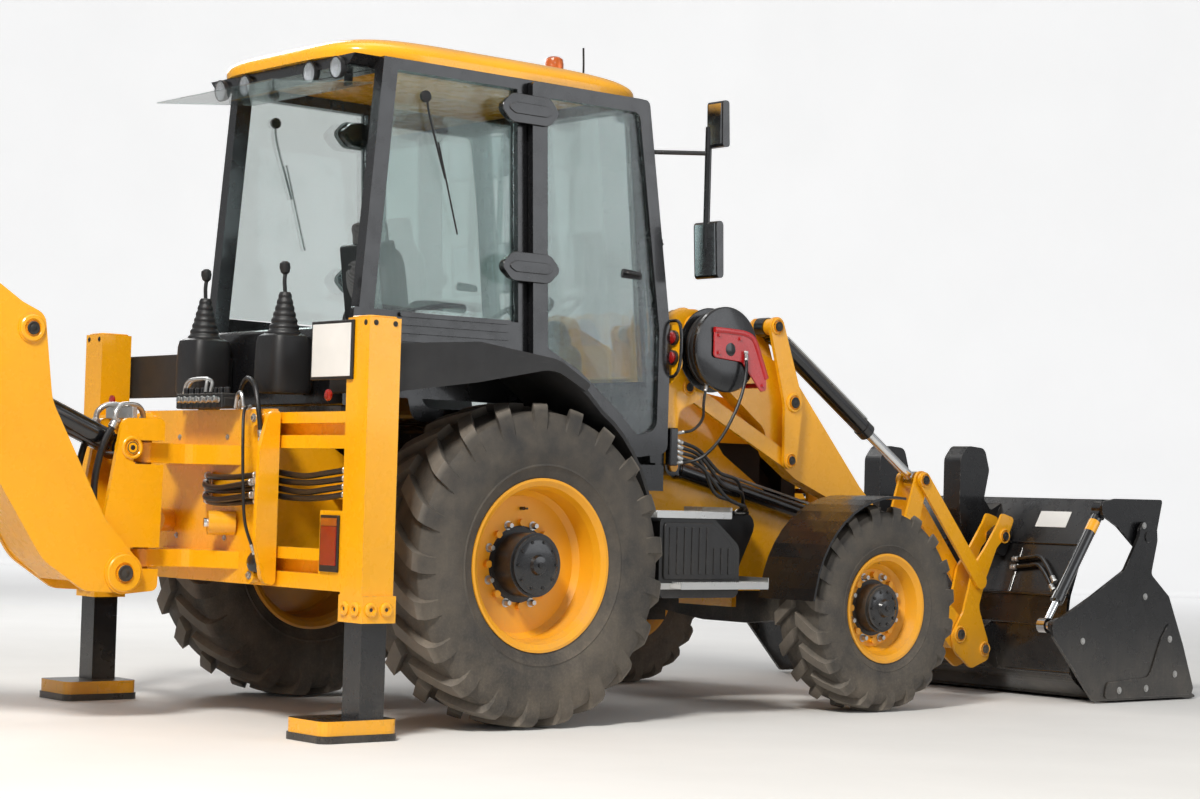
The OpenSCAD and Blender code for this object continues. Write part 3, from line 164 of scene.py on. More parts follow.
def box_ring(a, b, sides=28, sharp=0.5):
    """Points of a box with round corners: (a cos t, b sin t), cosine and sine raised to a power below one."""
    t = np.linspace(0, 2 * np.pi, sides, endpoint=False)
    return np.stack([a * power(np.cos(t), sharp), b * power(np.sin(t), sharp)], axis=1)


def eased(points, steps=6):
    """A smooth line through points: between two of them the cubic whose slope at each is half the step
    across it."""
    p = np.array(points, float)
    p = np.vstack([2 * p[0] - p[1], p, 2 * p[-1] - p[-2]])
    a, b, c, d = p[:-3, None], p[1:-2, None], p[2:-1, None], p[3:, None]
    t = np.linspace(0, 1, steps, endpoint=False)[None, :, None]
    curve = 0.5 * (2 * b + (c - a) * t + (2 * a - 5 * b + 4 * c - d) * t ** 2
                   + (3 * b - a - 3 * c + d) * t ** 3)
    return np.vstack([curve.reshape(-1, p.shape[1]), p[-2:-1]])


def pipe(points, radius, sides=10):
    """A round tube along the smooth line through points."""
    return carried(eased(points), ring_of(radius, sides))


def button(radius, side, top, height, at, axis, sides=28, crown=0):
    """A round cap: a straight side, a slope in to the top's radius, and a top that is flat or rises by
    crown."""
    return turned([[radius, 0], [radius, side], [top, height], [0, height + crown]], at, axis, sides)


def slab(lo, hi, ease=4):
    """A block from lo to hi whose edges are cut back by ease: each corner has three points,
    one on each of its faces, at the corner less ease in the other two directions."""
    lo, hi = np.array(lo, float), np.array(hi, float)
    centre, half = (lo + hi) / 2, (hi - lo) / 2
    ease = min(ease, 0.45 * half.min())
    signs = np.array([(x, y, z) for z in (-1, 1) for y in (-1, 1) for x in (-1, 1)], float)
    back = half[None] - ease * (1 - np.eye(3))
    points = (centre + signs[:, None, :] * back[None]).reshape(-1, 3)

    def num(x, y, z, k):
        return 3 * (x + 2 * y + 4 * z) + k

    faces = []
    for k in range(3):
        i, j = (k + 1) % 3, (k + 2) % 3
        for side in (0, 1):
            loop = []
            for a, b in ((0, 0), (1, 0), (1, 1), (0, 1)):
                c = [0, 0, 0]
                c[k], c[i], c[j] = side, a, b
                loop.append(num(*c, k))
            faces.append(tuple(loop if side else reversed(loop)))
        for a in (0, 1):
            for b in (0, 1):
                c, d = [0, 0, 0], [0, 0, 0]
                c[i], c[j], d[i], d[j], d[k] = a, b, a, b, 1
                loop = [num(*c, i), num(*d, i), num(*d, j), num(*c, j)]
                faces.append(tuple(loop if a != b else reversed(loop)))
    for x in (0, 1):
        for y in (0, 1):
            for z in (0, 1):
                loop = [num(x, y, z, k) for k in range(3)]
                faces.append(tuple(loop if (x + y + z) % 2 else reversed(loop)))
    return points, faces


def panel(outline, low, high, plane="side", ease=3):
    """A plate with a rounded rim: rings of the outline at low and high, drawn in by ease at the two faces.
    side puts the outline in x and z, across in y and z, level in x and y."""
    p = np.array(outline, float)
    ahead = np.roll(p, -1, axis=0) - p
    ahead /= np.linalg.norm(ahead, axis=1)[:, None]
    behind = np.roll(ahead, 1, axis=0)
    turn = 1 if np.sum(p[:, 0] * np.roll(p[:, 1], -1) - np.roll(p[:, 0], -1) * p[:, 1]) > 0 else -1
    inward = turn * (np.stack([-ahead[:, 1], ahead[:, 0]], 1) + np.stack([-behind[:, 1], behind[:, 0]], 1))
    inward /= np.maximum(np.sum(inward ** 2, axis=1), 0.8)[:, None] / 2
    rings = []
    for height, back in ((low, ease), (low + ease, 0), (high - ease, 0), (high, ease)):
        q = p + inward * back
        h = np.full(len(q), float(height))
        rings.append(np.column_stack({"side": (q[:, 0], h, q[:, 1]), "across": (h, q[:, 0], q[:, 1]),
                                      "level": (q[:, 0], q[:, 1], h)}[plane]))
    points, faces = skin(np.array(rings), cap=True)
    if (turn > 0) == (plane == "side"):
        faces = [tuple(reversed(f)) for f in faces]
    return points, faces


def rounded(rows, steps=4):
    """An outline from rows [a, b, radius]: each corner gives way to an arc that touches both its sides."""
    rows = np.array(rows, float)
    out = []
    for p, q, s in zip(np.roll(rows, 1, axis=0), rows, np.roll(rows, -1, axis=0)):
        u, v = p[:2] - q[:2], s[:2] - q[:2]
        lu, lv = np.linalg.norm(u), np.linalg.norm(v)
        u, v = u / lu, v / lv
        half = np.arccos(np.clip(u @ v, -1, 1)) / 2
        if q[2] < 0.5 or half > 1.55:
            out.append(q[:2])
            continue
        d = min(q[2] / np.tan(half), 0.48 * min(lu, lv))
        r = d * np.tan(half)
        middle = q[:2] + (u + v) / np.linalg.norm(u + v) * r / np.sin(half)
        start, end = q[:2] + u * d - middle, q[:2] + v * d - middle
        a = np.arctan2(start[1], start[0])
        turn = (np.arctan2(end[1], end[0]) - a + 3 * np.pi) % (2 * np.pi) - np.pi
        t = a + turn * np.linspace(0, 1, steps + 1)
        out += list(middle + r * np.column_stack([np.cos(t), np.sin(t)]))
    return np.array(out)


def copies(shape, places, axis=(0, 0, 1)):
    """The same small shape, built about the origin along z, stood along the axis at many places at once."""
    points, faces = shape
    places = np.array(places, float).reshape(-1, 3)
    spread = (np.asarray(points) @ axes_of(axis).T)[None] + places[:, None]
    step = len(points)
    return spread.reshape(-1, 3), [tuple(i + k * step for i in f) for k in range(len(places)) for f in faces]


def bolt(radius, height):
    """A washer and a six-sided head with its top corners turned off, built along z from 0."""
    washer = turned([[0, 0], [radius * 1.45, 0], [radius * 1.45, radius * 0.2], [0, radius * 0.2]],
                    (0, 0, 0), sides=12)
    head = turned([[0, 0], [radius, 0], [radius, height * 0.8], [radius * 0.82, height], [0, height]],
                  (0, 0, 0), sides=6)
    return joined([washer, head])


def around(centre, radius, count, phase=0.0):
    """Places on a circle across y: count of them at equal angles."""
    t = phase + np.arange(count) * 2 * np.pi / count
    return np.array(centre, float) + np.column_stack([radius * np.cos(t), np.zeros(count),
                                                      radius * np.sin(t)])


def piece(name, shapes, body, material, angle=32, stands_for=(), attribute=None):
    """Makes one object: millimetres from the rear axle become metres in the frame."""
    points, faces = joined(shapes) if isinstance(shapes, list) else shapes
    mesh = bpy.data.meshes.new(name)
    mesh.from_pydata((np.asarray(points) / 1000 + [AXLE_X, 0, 0]).tolist(), [], faces)
    mesh.validate()
    whole = bmesh.new()
    whole.from_mesh(mesh)
    bmesh.ops.recalc_face_normals(whole, faces=whole.faces)
    whole.to_mesh(mesh)
    whole.free()
    mesh.shade_smooth()
    mesh.set_sharp_from_angle(angle=np.radians(angle))
    mesh.materials.append(material)
    if attribute is not None:
        mesh.attributes.new("tread", "FLOAT", "POINT").data.foreach_set("value",
                                                                        np.asarray(attribute, np.float32))
    thing = bpy.data.objects.new(name, mesh)
    bpy.context.scene.collection.objects.link(thing)
    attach(thing, body)
    if stands_for:
        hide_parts(*stands_for)
    return thing


# Shader nodes


def feed(tree, socket, value):
    """Links a socket to another node's output, or sets its value."""
    if isinstance(value, bpy.types.NodeSocket):
        tree.links.new(value, socket)
    else:
        socket.default_value = value


def put(tree, kind, settings=None, **inputs):
    """Adds a node. Settings are its own options, and inputs are its sockets, with _ for a space."""
    node = tree.nodes.new("ShaderNode" + kind)
    for key, value in (settings or {}).items():
        setattr(node, key, value)
    for key, value in inputs.items():
        feed(tree, node.inputs[key.replace("_", " ")], value)
    return node


def calc(tree, operation, *values, clamp=False):
    """A math node of one, two or three values."""
    node = tree.nodes.new("ShaderNodeMath")
    node.operation = operation
    node.use_clamp = clamp
    for socket, value in zip(node.inputs, values):
        feed(tree, socket, value)
    return node.outputs[0]


def blend(tree, share, first, second):
    """Colour between first and second by share."""
    node = tree.nodes.new("ShaderNodeMix")
    node.data_type = "RGBA"
    for index, value in ((0, share), (6, first), (7, second)):
        feed(tree, node.inputs[index], value)
    return node.outputs[2]


def ramp(tree, value, low, high, start=0.0, end=1.0):
    """Value from low to high becomes start to end, and stays at them outside."""
    node = tree.nodes.new("ShaderNodeMapRange")
    for index, number in enumerate((value, low, high, start, end)):
        feed(tree, node.inputs[index], number)
    return node.outputs[0]


def noise(tree, at, scale, detail=3.0, stretch=None):
    """Noise at a place, in features of 1 / scale metres, drawn out by stretch."""
    if stretch:
        at = put(tree, "Mapping", None, Vector=at, Scale=stretch).outputs[0]
    return put(tree, "TexNoise", None, Vector=at, Scale=scale, Detail=detail, Roughness=0.6).outputs[0]


def times(tree, first, second, clamp=False):
    """The product of two values."""
    return calc(tree, "MULTIPLY", first, second, clamp=clamp)


def plus(tree, first, second, clamp=False):
    """The sum of two values."""
    return calc(tree, "ADD", first, second, clamp=clamp)


def vector(tree, operation, first, second):
    """The outputs of a vector math node of two vectors."""
    node = put(tree, "VectorMath", {"operation": operation})
    feed(tree, node.inputs[0], first)
    feed(tree, node.inputs[1], second)
    return node.outputs


def object_place(tree):
    """Each point's place on the object, in metres."""
    return put(tree, "TexCoord").outputs["Object"]


def roughen(tree, shader, height, strength, distance):
    """Tilts the shader's normal by the slope of a height."""
    bump = put(tree, "Bump", None, Strength=strength, Distance=distance, Height=height)
    feed(tree, shader.inputs["Normal"], bump.outputs[0])


def group(name, **inputs):
    """A new node group with its inputs, all numbers, and one output, a mask. Gives its tree and their
    sockets."""
    tree = bpy.data.node_groups.new(name, "ShaderNodeTree")
    for label, value in inputs.items():
        socket = tree.interface.new_socket(label, in_out="INPUT", socket_type="NodeSocketFloat")
        socket.default_value = value
    tree.interface.new_socket("Mask", in_out="OUTPUT", socket_type="NodeSocketFloat")
    return tree, tree.nodes.new("NodeGroupInput").outputs, tree.nodes.new("NodeGroupOutput").inputs["Mask"]


def site_dust():
    """Dust lies where a face looks up and where the machine is low, in patches, in fine specks and in
    runs."""
    tree, given, mask = group("site_dust", Amount=0.5, Height=1.0)
    spot = put(tree, "TexCoord").outputs
    place = spot["Object"]
    height = put(tree, "SeparateXYZ", None, Vector=place).outputs["Z"]
    facing = put(tree, "SeparateXYZ", None, Vector=spot["Normal"]).outputs["Z"]
    low = ramp(tree, calc(tree, "DIVIDE", height, given["Height"]), 0.0, 1.0, 1.0, 0.0)
    lying = ramp(tree, facing, 0.2, 0.95, 0.0, 0.55)
    patches = ramp(tree, noise(tree, place, 3.2, 6.0), 0.38, 0.66)
    specks = ramp(tree, noise(tree, place, 90.0), 0.45, 0.75)
    runs = ramp(tree, noise(tree, place, 6.0, 4.0, (3.0, 3.0, 0.35)), 0.45, 0.8, 0.0, 0.5)
    spread = plus(tree, times(tree, patches, 0.7), times(tree, specks, 0.3))
    where = plus(tree, calc(tree, "POWER", low, 1.6), plus(tree, lying, times(tree, runs, low)))
    feed(tree, mask, times(tree, times(tree, where, spread), given["Amount"], clamp=True))
    return tree


def worn_edges():
    """Edges are where a rounded normal leaves the face's own, broken up by noise."""
    tree, given, mask = group("worn_edges", Amount=0.5, Radius=0.006)
    soft = put(tree, "Bevel", {"samples": 4}, Radius=given["Radius"]).outputs[0]
    same = vector(tree, "DOT_PRODUCT", soft, put(tree, "NewGeometry").outputs["Normal"])["Value"]
    edge = ramp(tree, same, 0.97, 0.80)
    chips = ramp(tree, noise(tree, object_place(tree), 38.0, 5.0), 0.5, 0.62)
    feed(tree, mask, times(tree, times(tree, edge, chips), given["Amount"], clamp=True))
    return tree


def scratches():
    """Two sets of thin long streaks, one along and one down the machine, each from noise drawn out one
    way."""
    tree, given, mask = group("scratches", Amount=0.5)
    place = object_place(tree)
    along = ramp(tree, noise(tree, place, 14.0, 4.0, (0.5, 8.0, 9.0)), 0.63, 0.70)
    down = ramp(tree, noise(tree, place, 14.0, 4.0, (9.0, 8.0, 0.6)), 0.65, 0.72)
    area = ramp(tree, noise(tree, place, 2.4, 2.0), 0.42, 0.62)
    both = times(tree, calc(tree, "MAXIMUM", along, down), area)
    feed(tree, mask, times(tree, both, given["Amount"], clamp=True))
    return tree


DUST_GROUP, EDGE_GROUP, SCRATCH_GROUP = site_dust(), worn_edges(), scratches()
DUST = (0.30, 0.25, 0.19, 1)


def shared(tree, which, **inputs):
    """A shared group's only output, with its inputs set."""
    node = tree.nodes.new("ShaderNodeGroup")
    node.node_tree = which
    for key, value in inputs.items():
        feed(tree, node.inputs[key], value)
    return node.outputs[0]


def blank(name, **sockets):
    """A material with its shader, whose constant sockets are set here."""
    material = bpy.data.materials.new(name)
    material.use_nodes = True
    tree = material.node_tree
    shader = tree.nodes["Principled BSDF"]
    for key, value in sockets.items():
        shader.inputs[key.replace("_", " ")].default_value = value
    return material, tree, shader


def within(tree, place, boxes):
    """1 inside any of the boxes, given in millimetres from the rear axle, and 0 outside."""
    total = 0.0
    for lo, hi in boxes:
        lo, hi = (np.array(c, float) / 1000 + [AXLE_X, 0, 0] for c in (lo, hi))
        parts = put(tree, "SeparateXYZ", None, Vector=place)
        inner = 1.0
        for axis in range(3):
            reach = calc(tree, "ABSOLUTE", parts.outputs[1]) if axis == 1 else parts.outputs[axis]
            inner = times(tree, inner, calc(tree, "GREATER_THAN", reach, lo[axis]))
            inner = times(tree, inner, calc(tree, "LESS_THAN", reach, hi[axis]))
        total = calc(tree, "MAXIMUM", total, inner)
    return total


def near_axles(tree, place, rows):
    """1 within a radius of any axle, rows of x, height and radius in millimetres from the rear axle, and 0
    outside."""
    total = 0.0
    flat = vector(tree, "MULTIPLY", place, (1, 0, 1))["Vector"]
    for x, z, radius in rows:
        far = vector(tree, "DISTANCE", flat, (x / 1000 + AXLE_X, 0, z / 1000))["Value"]
        total = calc(tree, "MAXIMUM", total, calc(tree, "LESS_THAN", far, radius / 1000))
    return total


def opaque(colour, share=1.0, lift=0.0):
    """A colour times a share, plus lift, with its alpha of 1."""
    return tuple(min(1.0, c * share + lift) for c in colour) + (1,)


def surface(name, paint, rough=0.35, dust=0.4, dust_height=1.2, wear=0.5, under=(0.10, 0.09, 0.085, 1),
            scratch=0.3, grain=0.05, grain_scale=240.0, tone=0.08, coat=0.0, metallic=0.0, second=None,
            boxes=(), hubs=()):
    """A finish: its colour varies a little, wears at edges, is scratched, and gathers dust. second is another
    colour inside the boxes, such as a pad or a tread, or near the axles in hubs."""
    material, tree, shader = blank(name, Coat_Weight=coat, Coat_Roughness=0.08, Metallic=metallic)
    place = object_place(tree)
    patches = ramp(tree, noise(tree, place, 1.7, 4.0), 0.35, 0.7)
    colour = blend(tree, patches, opaque(paint), opaque(paint, 1 - 2.2 * tone))
    if second:
        zone = calc(tree, "MAXIMUM", within(tree, place, boxes), near_axles(tree, place, hubs))
        colour = blend(tree, zone, colour, opaque(second))
    edge = shared(tree, EDGE_GROUP, Amount=wear)
    marks = shared(tree, SCRATCH_GROUP, Amount=scratch)
    dirt = shared(tree, DUST_GROUP, Amount=dust, Height=dust_height)
    colour = blend(tree, edge, colour, under)
    colour = blend(tree, marks, colour, opaque(paint, 0.7, 0.05))
    feed(tree, shader.inputs["Base Color"], blend(tree, dirt, colour, DUST))
    mottle = ramp(tree, noise(tree, place, 11.0, 5.0), 0.3, 0.75, rough - 0.05, rough + 0.10)
    dull = plus(tree, times(tree, dirt, 0.45), times(tree, edge, 0.2))
    feed(tree, shader.inputs["Roughness"], plus(tree, mottle, dull, clamp=True))
    fine = times(tree, noise(tree, place, grain_scale, 2.0), grain)
    roughen(tree, shader, plus(tree, fine, times(tree, edge, -0.15)), 0.5, 0.004)
    return material


YELLOW = (0.93, 0.42, 0.004)
LEG_PAD = [((-1400, 800, 30), (-500, 1400, 88))]
TREADS = [((690, 680, 600), (1400, 1200, 628)), ((690, 680, 926), (1400, 1200, 952))]
HUBS = [(REAR_WHEEL[0], REAR_WHEEL[2], 168), (FRONT_WHEEL[0], FRONT_WHEEL[2], 138)]

yellow_paint = surface("yellow_paint", YELLOW, rough=0.26, dust=0.42, dust_height=0.7, wear=0.6,
                       under=(0.25, 0.20, 0.13, 1), scratch=0.15, coat=0.4, tone=0.05)
wheel_paint = surface("wheel_paint", (0.90, 0.39, 0.006), rough=0.36, dust=0.6, dust_height=0.9, wear=0.4,
                      under=(0.2, 0.15, 0.1, 1), scratch=0.2, coat=0.15, tone=0.06,
                      second=(0.010, 0.010, 0.011), hubs=HUBS)
bucket_black = surface("bucket_black", (0.007, 0.007, 0.008), rough=0.26, dust=0.3, dust_height=0.5, wear=0.7,
                       under=(0.30, 0.29, 0.28, 1), scratch=0.4, tone=0.15, coat=0.35)
black_paint = surface("black_paint", (0.007, 0.007, 0.008), rough=0.24, dust=0.15, dust_height=0.8, wear=0.3,
                      scratch=0.12, tone=0.1, coat=0.35)
leg_paint = surface("leg_paint", (0.008, 0.008, 0.009), rough=0.24, dust=0.3, dust_height=0.4, wear=0.4,
                    scratch=0.4, coat=0.3, second=YELLOW, boxes=LEG_PAD)
step_paint = surface("step_paint", (0.010, 0.010, 0.011), rough=0.40, dust=0.4, dust_height=1.0, wear=0.4,
                     scratch=0.2, second=(0.60, 0.60, 0.59), boxes=TREADS)
fender_grey = surface("fender_grey", (0.016, 0.016, 0.017), rough=0.55, dust=0.35, dust_height=1.8, wear=0.15,
                      scratch=0.25, grain=0.25, grain_scale=420.0, tone=0.12)
fender_gloss = surface("fender_gloss", (0.008, 0.008, 0.009), rough=0.24, dust=0.12, dust_height=0.8,
                       wear=0.2, scratch=0.3, coat=0.35, tone=0.1)
dark_iron = surface("dark_iron", (0.014, 0.014, 0.014), rough=0.5, dust=0.6, dust_height=1.1, wear=0.3,
                    grain=0.5, grain_scale=130.0, tone=0.15)
black_plastic = surface("black_plastic", (0.010, 0.010, 0.011), rough=0.42, dust=0.08, dust_height=2.0,
                        wear=0.1, scratch=0.1, grain=0.35, grain_scale=500.0)
ram_black = surface("ram_black", (0.006, 0.006, 0.007), rough=0.16, dust=0.22, dust_height=0.6, wear=0.4,
                    scratch=0.2, coat=0.6)
bare_steel = surface("bare_steel", (0.58, 0.58, 0.57), rough=0.30, dust=0.2, wear=0.3, metallic=0.9,
                     under=(0.7, 0.7, 0.7, 1), scratch=0.4, grain=0.2)
red_paint = surface("red_paint", (0.50, 0.006, 0.008), rough=0.26, dust=0.12, wear=0.4, coat=0.4)
white_plate = surface("white_plate", (0.80, 0.80, 0.78), rough=0.35, dust=0.15, dust_height=2.0, wear=0.2)
hose_rubber = surface("hose_rubber", (0.008, 0.008, 0.009), rough=0.32, dust=0.2, dust_height=1.2, wear=0.1,
                      grain=0.3, grain_scale=600.0)


def chrome_material():
    """Polished rod: bright metal with fine lines round it, a film of oil and a little dust."""
    material, tree, shader = blank("rod_chrome", Metallic=1.0)
    place = object_place(tree)
    dirt = shared(tree, DUST_GROUP, Amount=0.3, Height=0.9)
    feed(tree, shader.inputs["Base Color"], blend(tree, dirt, (0.80, 0.81, 0.82, 1), (0.35, 0.31, 0.26, 1)))
    smear = ramp(tree, noise(tree, place, 20.0, 4.0, (1.0, 1.0, 5.0)), 0.4, 0.7, 0.06, 0.16)
    feed(tree, shader.inputs["Roughness"], plus(tree, smear, times(tree, dirt, 0.4)))
    roughen(tree, shader, noise(tree, place, 700.0, 2.0), 0.15, 0.001)
    return material


def glass_material(name, tint, alpha, rough=0.02):
    """Tinted pane: clear, with faint dusty smears that dull it."""
    material, tree, shader = blank(name, Transmission_Weight=1.0, IOR=1.45, Metallic=0.0)
    smear = ramp(tree, noise(tree, object_place(tree), 5.0, 6.0), 0.5, 0.8)
    feed(tree, shader.inputs["Base Color"], blend(tree, times(tree, smear, 0.12), tint, (0.6, 0.6, 0.55, 1)))
    feed(tree, shader.inputs["Roughness"], ramp(tree, smear, 0.0, 1.0, rough, rough + 0.05))
    feed(tree, shader.inputs["Alpha"], ramp(tree, smear, 0.0, 1.0, alpha, min(1.0, alpha + 0.08)))
    return material


def waves(tree, place, direction, scale):
    """Even waves along one direction."""
    return put(tree, "TexWave", {"bands_direction": direction}, Vector=place, Scale=scale).outputs["Fac"]


def lens_material(name, tint):
    """Moulded lens: its back is ribbed in two directions, so it sparkles."""
    material, tree, shader = blank(name, Transmission_Weight=0.55, IOR=1.5, Roughness=0.08, Coat_Weight=0.5)
    place = object_place(tree)
    tone = ramp(tree, noise(tree, place, 40.0), 0.3, 0.8)
    feed(tree, shader.inputs["Base Color"], blend(tree, tone, opaque(tint), opaque(tint, 0.7)))
    roughen(tree, shader, plus(tree, waves(tree, place, "Y", 60.0), waves(tree, place, "Z", 60.0)), 0.35,
            0.002)
    return material


def tyre_material():
    """Rubber: dusty brown-grey in the grooves and low on the wheel, paler and scuffed on the lugs' faces."""
    material, tree, shader = blank("tyre_rubber", Metallic=0.0)
    place = object_place(tree)
    lug = put(tree, "Attribute", {"attribute_name": "tread"}).outputs["Fac"]
    cloud = ramp(tree, noise(tree, place, 9.0, 7.0), 0.35, 0.7)
    side = blend(tree, cloud, (0.030, 0.028, 0.026, 1), (0.085, 0.074, 0.060, 1))
    worn = blend(tree, cloud, (0.105, 0.094, 0.080, 1), (0.19, 0.165, 0.135, 1))
    dirt = shared(tree, DUST_GROUP, Amount=0.55, Height=1.6)
    colour = blend(tree, dirt, blend(tree, lug, side, worn), (0.25, 0.205, 0.155, 1))
    feed(tree, shader.inputs["Base Color"], colour)
    feed(tree, shader.inputs["Roughness"], ramp(tree, cloud, 0.0, 1.0, 0.62, 0.9))
    fine = times(tree, noise(tree, place, 160.0, 4.0), 0.6)
    roughen(tree, shader, plus(tree, fine, noise(tree, place, 24.0, 5.0)), 0.5, 0.004)
    return material


def fabric_material():
    """Seat cloth: a plain weave from two crossed waves, with pile that catches the light at its rim."""
    material, tree, shader = blank("seat_fabric", Sheen_Weight=0.3, Sheen_Roughness=0.5)
    place = object_place(tree)
    weave = times(tree, waves(tree, place, "X", 140.0), waves(tree, place, "Y", 140.0))
    cloud = ramp(tree, noise(tree, place, 12.0, 4.0), 0.3, 0.8)
    colour = blend(tree, weave, (0.020, 0.020, 0.023, 1), (0.060, 0.060, 0.066, 1))
    feed(tree, shader.inputs["Base Color"], blend(tree, times(tree, cloud, 0.4), colour,
                                                  (0.09, 0.085, 0.08, 1)))
    feed(tree, shader.inputs["Roughness"], ramp(tree, cloud, 0.0, 1.0, 0.75, 0.92))
    roughen(tree, shader, weave, 0.6, 0.001)
    return material


rod_chrome = chrome_material()
window_glass = glass_material("window_glass", (0.55, 0.84, 0.80, 1), 0.42)
clear_glass = glass_material("clear_glass", (0.93, 0.95, 0.95, 1), 0.5, rough=0.03)
red_lens = lens_material("red_lens", (0.62, 0.012, 0.010))
amber_lens = lens_material("amber_lens", (0.90, 0.20, 0.010))
tyre_rubber = tyre_material()
seat_fabric = fabric_material()

# Finishes of the CAD nodes, also of those that a piece stands for
FINISH = {
    yellow_paint: ["chassis_frame", "loader_towers", "cab_roof", "rear_frame", "bonnet", "carriage",
                   "kingpost", "boom", "dipper", "bucket_lever", "bucket_link", "hoe_bucket", "loader_arms",
                   "level_levers", "level_links", "tip_levers", "tip_links", "hitch"],
    bucket_black: ["bucket_back", "bucket_clam"],
    black_paint: ["cab_frame", "door_right", "door_left", "hose_reel"],
    fender_gloss: ["knuckle_right", "knuckle_left"],
    leg_paint: ["leg_right", "leg_left"],
    step_paint: ["step_boxes"],
    fender_grey: ["rear_fenders"],
    dark_iron: ["engine_block", "rear_axle", "front_axle", "exhaust"],
    black_plastic: ["seat", "controls", "lamps"],
    window_glass: ["cab_glass", "door_glass_right", "door_glass_left"],
    ram_black: ["lift_barrels", "crowd_barrels", "clam_barrels", "boom_barrel", "dipper_barrel",
                "bucket_barrel"],
    rod_chrome: ["lift_rods", "crowd_rods", "clam_rods", "boom_rod", "dipper_rod", "bucket_rod"],
    tyre_rubber: ["rear_tyre_right", "rear_tyre_left", "front_tyre_right", "front_tyre_left"],
    wheel_paint: ["rear_rim_right", "rear_rim_left", "front_rim_right", "front_rim_left"]}


def give_finish(name, material):
    """Puts a material in every slot of a CAD node."""
    data = nodes[name].data
    if not data.materials:
        data.materials.append(material)
    for index in range(len(data.materials)):
        data.materials[index] = material


for finish, names in FINISH.items():
    for name in names:
        give_finish(name, finish)


# Wheels


def tyre(name, body, at, radius, width, rim, count, depth, node):
    """Carcass and lugs in one skin. Each row of the section has a place on the carcass and one on the lug,
    and a column of the pitch lies on a lug or between two: point = carcass + (lug - carcass) * both.
    Rows turn ahead by their distance from the middle, so the lugs lean, and the two sides are half a pitch
    apart."""
    h, w, base = radius - rim, width, radius - depth
    # rows under the lugs: half width and radius on the carcass, the same on a lug, and 1 where a lug stands
    tread = np.array([[8, base, 8, base, 0], [12, base, 12, radius, 1],
                      [0.12 * w, base, 0.12 * w, radius, 1], [0.24 * w, base, 0.24 * w, radius - 1, 1],
                      [0.35 * w, base - 2, 0.35 * w, radius - 4, 1],
                      [0.41 * w, base - 9, 0.425 * w, radius - 10, 1],
                      [0.445 * w, base - 26, 0.468 * w, radius - 34, 1],
                      [0.463 * w, radius - 0.27 * h, 0.486 * w, radius - 0.22 * h, 1]])
    # rows of the side wall down to the bead: half width as a share of the width, and radius
    wall = [[0.478, radius - 0.36 * h], [0.495, rim + 0.50 * h], [0.500, rim + 0.42 * h],
            [0.490, rim + 0.29 * h], [0.466, rim + 0.19 * h], [0.470, rim + 0.165 * h],
            [0.448, rim + 0.13 * h], [0.430, rim + 0.05 * h], [0.405, rim - 2],
            [0.400, rim - 18]] * np.array([w, 1])
    half = np.vstack([tread, np.hstack([wall, wall, np.zeros((len(wall), 1))])])
    rows = np.vstack([half[::-1] * [-1, 1, -1, 1, 1], [[0, base, 0, base, 0]], half])
    part = np.array([0, .03, .06, .25, .43, .46, .50, .53, .56, .75, .93, .96])
    left = np.array([0, 0, 1, 1, 1, 0, 0, 0, 0, 0, 0, 0.0])
    right = np.roll(left, len(part) // 2)
    lug = np.where(rows[:, :1] > 0, np.tile(left, count)[None], np.tile(right, count)[None]) * rows[:, 4:]
    t = 2 * np.pi / count * (np.arange(count)[:, None] + part[None]).ravel()
    t = t[None] + 0.78 * np.minimum(np.abs(rows[:, :1]), 0.47 * w) / radius
    r = rows[:, 1:2] + (rows[:, 3:4] - rows[:, 1:2]) * lug
    y = rows[:, :1] + (rows[:, 2:3] - rows[:, :1]) * lug
    grid = np.stack([at[0] + r * np.cos(t), at[1] + y, at[2] + r * np.sin(t)], axis=-1)
    high = np.clip((r - (radius - depth * 0.8)) / (depth * 0.4), 0, 1)
    piece(name, skin(grid, closed_v=True), body, tyre_rubber, angle=28, stands_for=[node],
          attribute=high.ravel())


def hub(end, side_name, at, s, radius, face, disc, nut_circle):
    """Planetary cover with its bolts and plug, wheel nuts and the valve's stem, all along the axle from
    at."""
    out, body = (0, s, 0), f"wheel_{end[0]}{side_name[0]}"

    def along(reach, up=0):
        return at + [0, s * reach, up]

    cover = turned([[radius - 2, -30], [radius - 2, 4], [radius - 16, 14], [radius - 40, 18], [46, 20],
                    [38, 34], [12, 38], [0, 38]], along(face - 12), out, 40)
    cover_bolts = copies(bolt(8, 9), around(along(face), radius - 24, 10), out)
    plug = copies(bolt(14, 14), [along(face + 20)], out)
    nuts = copies(bolt(14, 30), around(along(disc + 14), nut_circle, 8, phase=0.39), out)
    stem = turned([[8, 0], [8, 26], [5, 28], [5, 48], [0, 48]], along(disc + 14, nut_circle + 62), out, 10)
    piece(f"{end}_hub_cover_{side_name}", [cover, cover_bolts, plug, stem], body, black_paint)
    piece(f"{end}_wheel_nuts_{side_name}", nuts, body, bare_steel)


# rows: end, centre, tyre's radius, width and rim, lugs round it and their depth
TYRES = [("rear", REAR_WHEEL, 707, 446, 378, 21, 36), ("front", FRONT_WHEEL, 505, 326, 268, 19, 30)]
# rows: end, centre, hub's radius, its outer face, the disc's face, circle of the nuts
HUB_ROWS = [("rear", REAR_WHEEL, 128, 155, 14, 182), ("front", FRONT_WHEEL, 106, 120, 26, 160)]

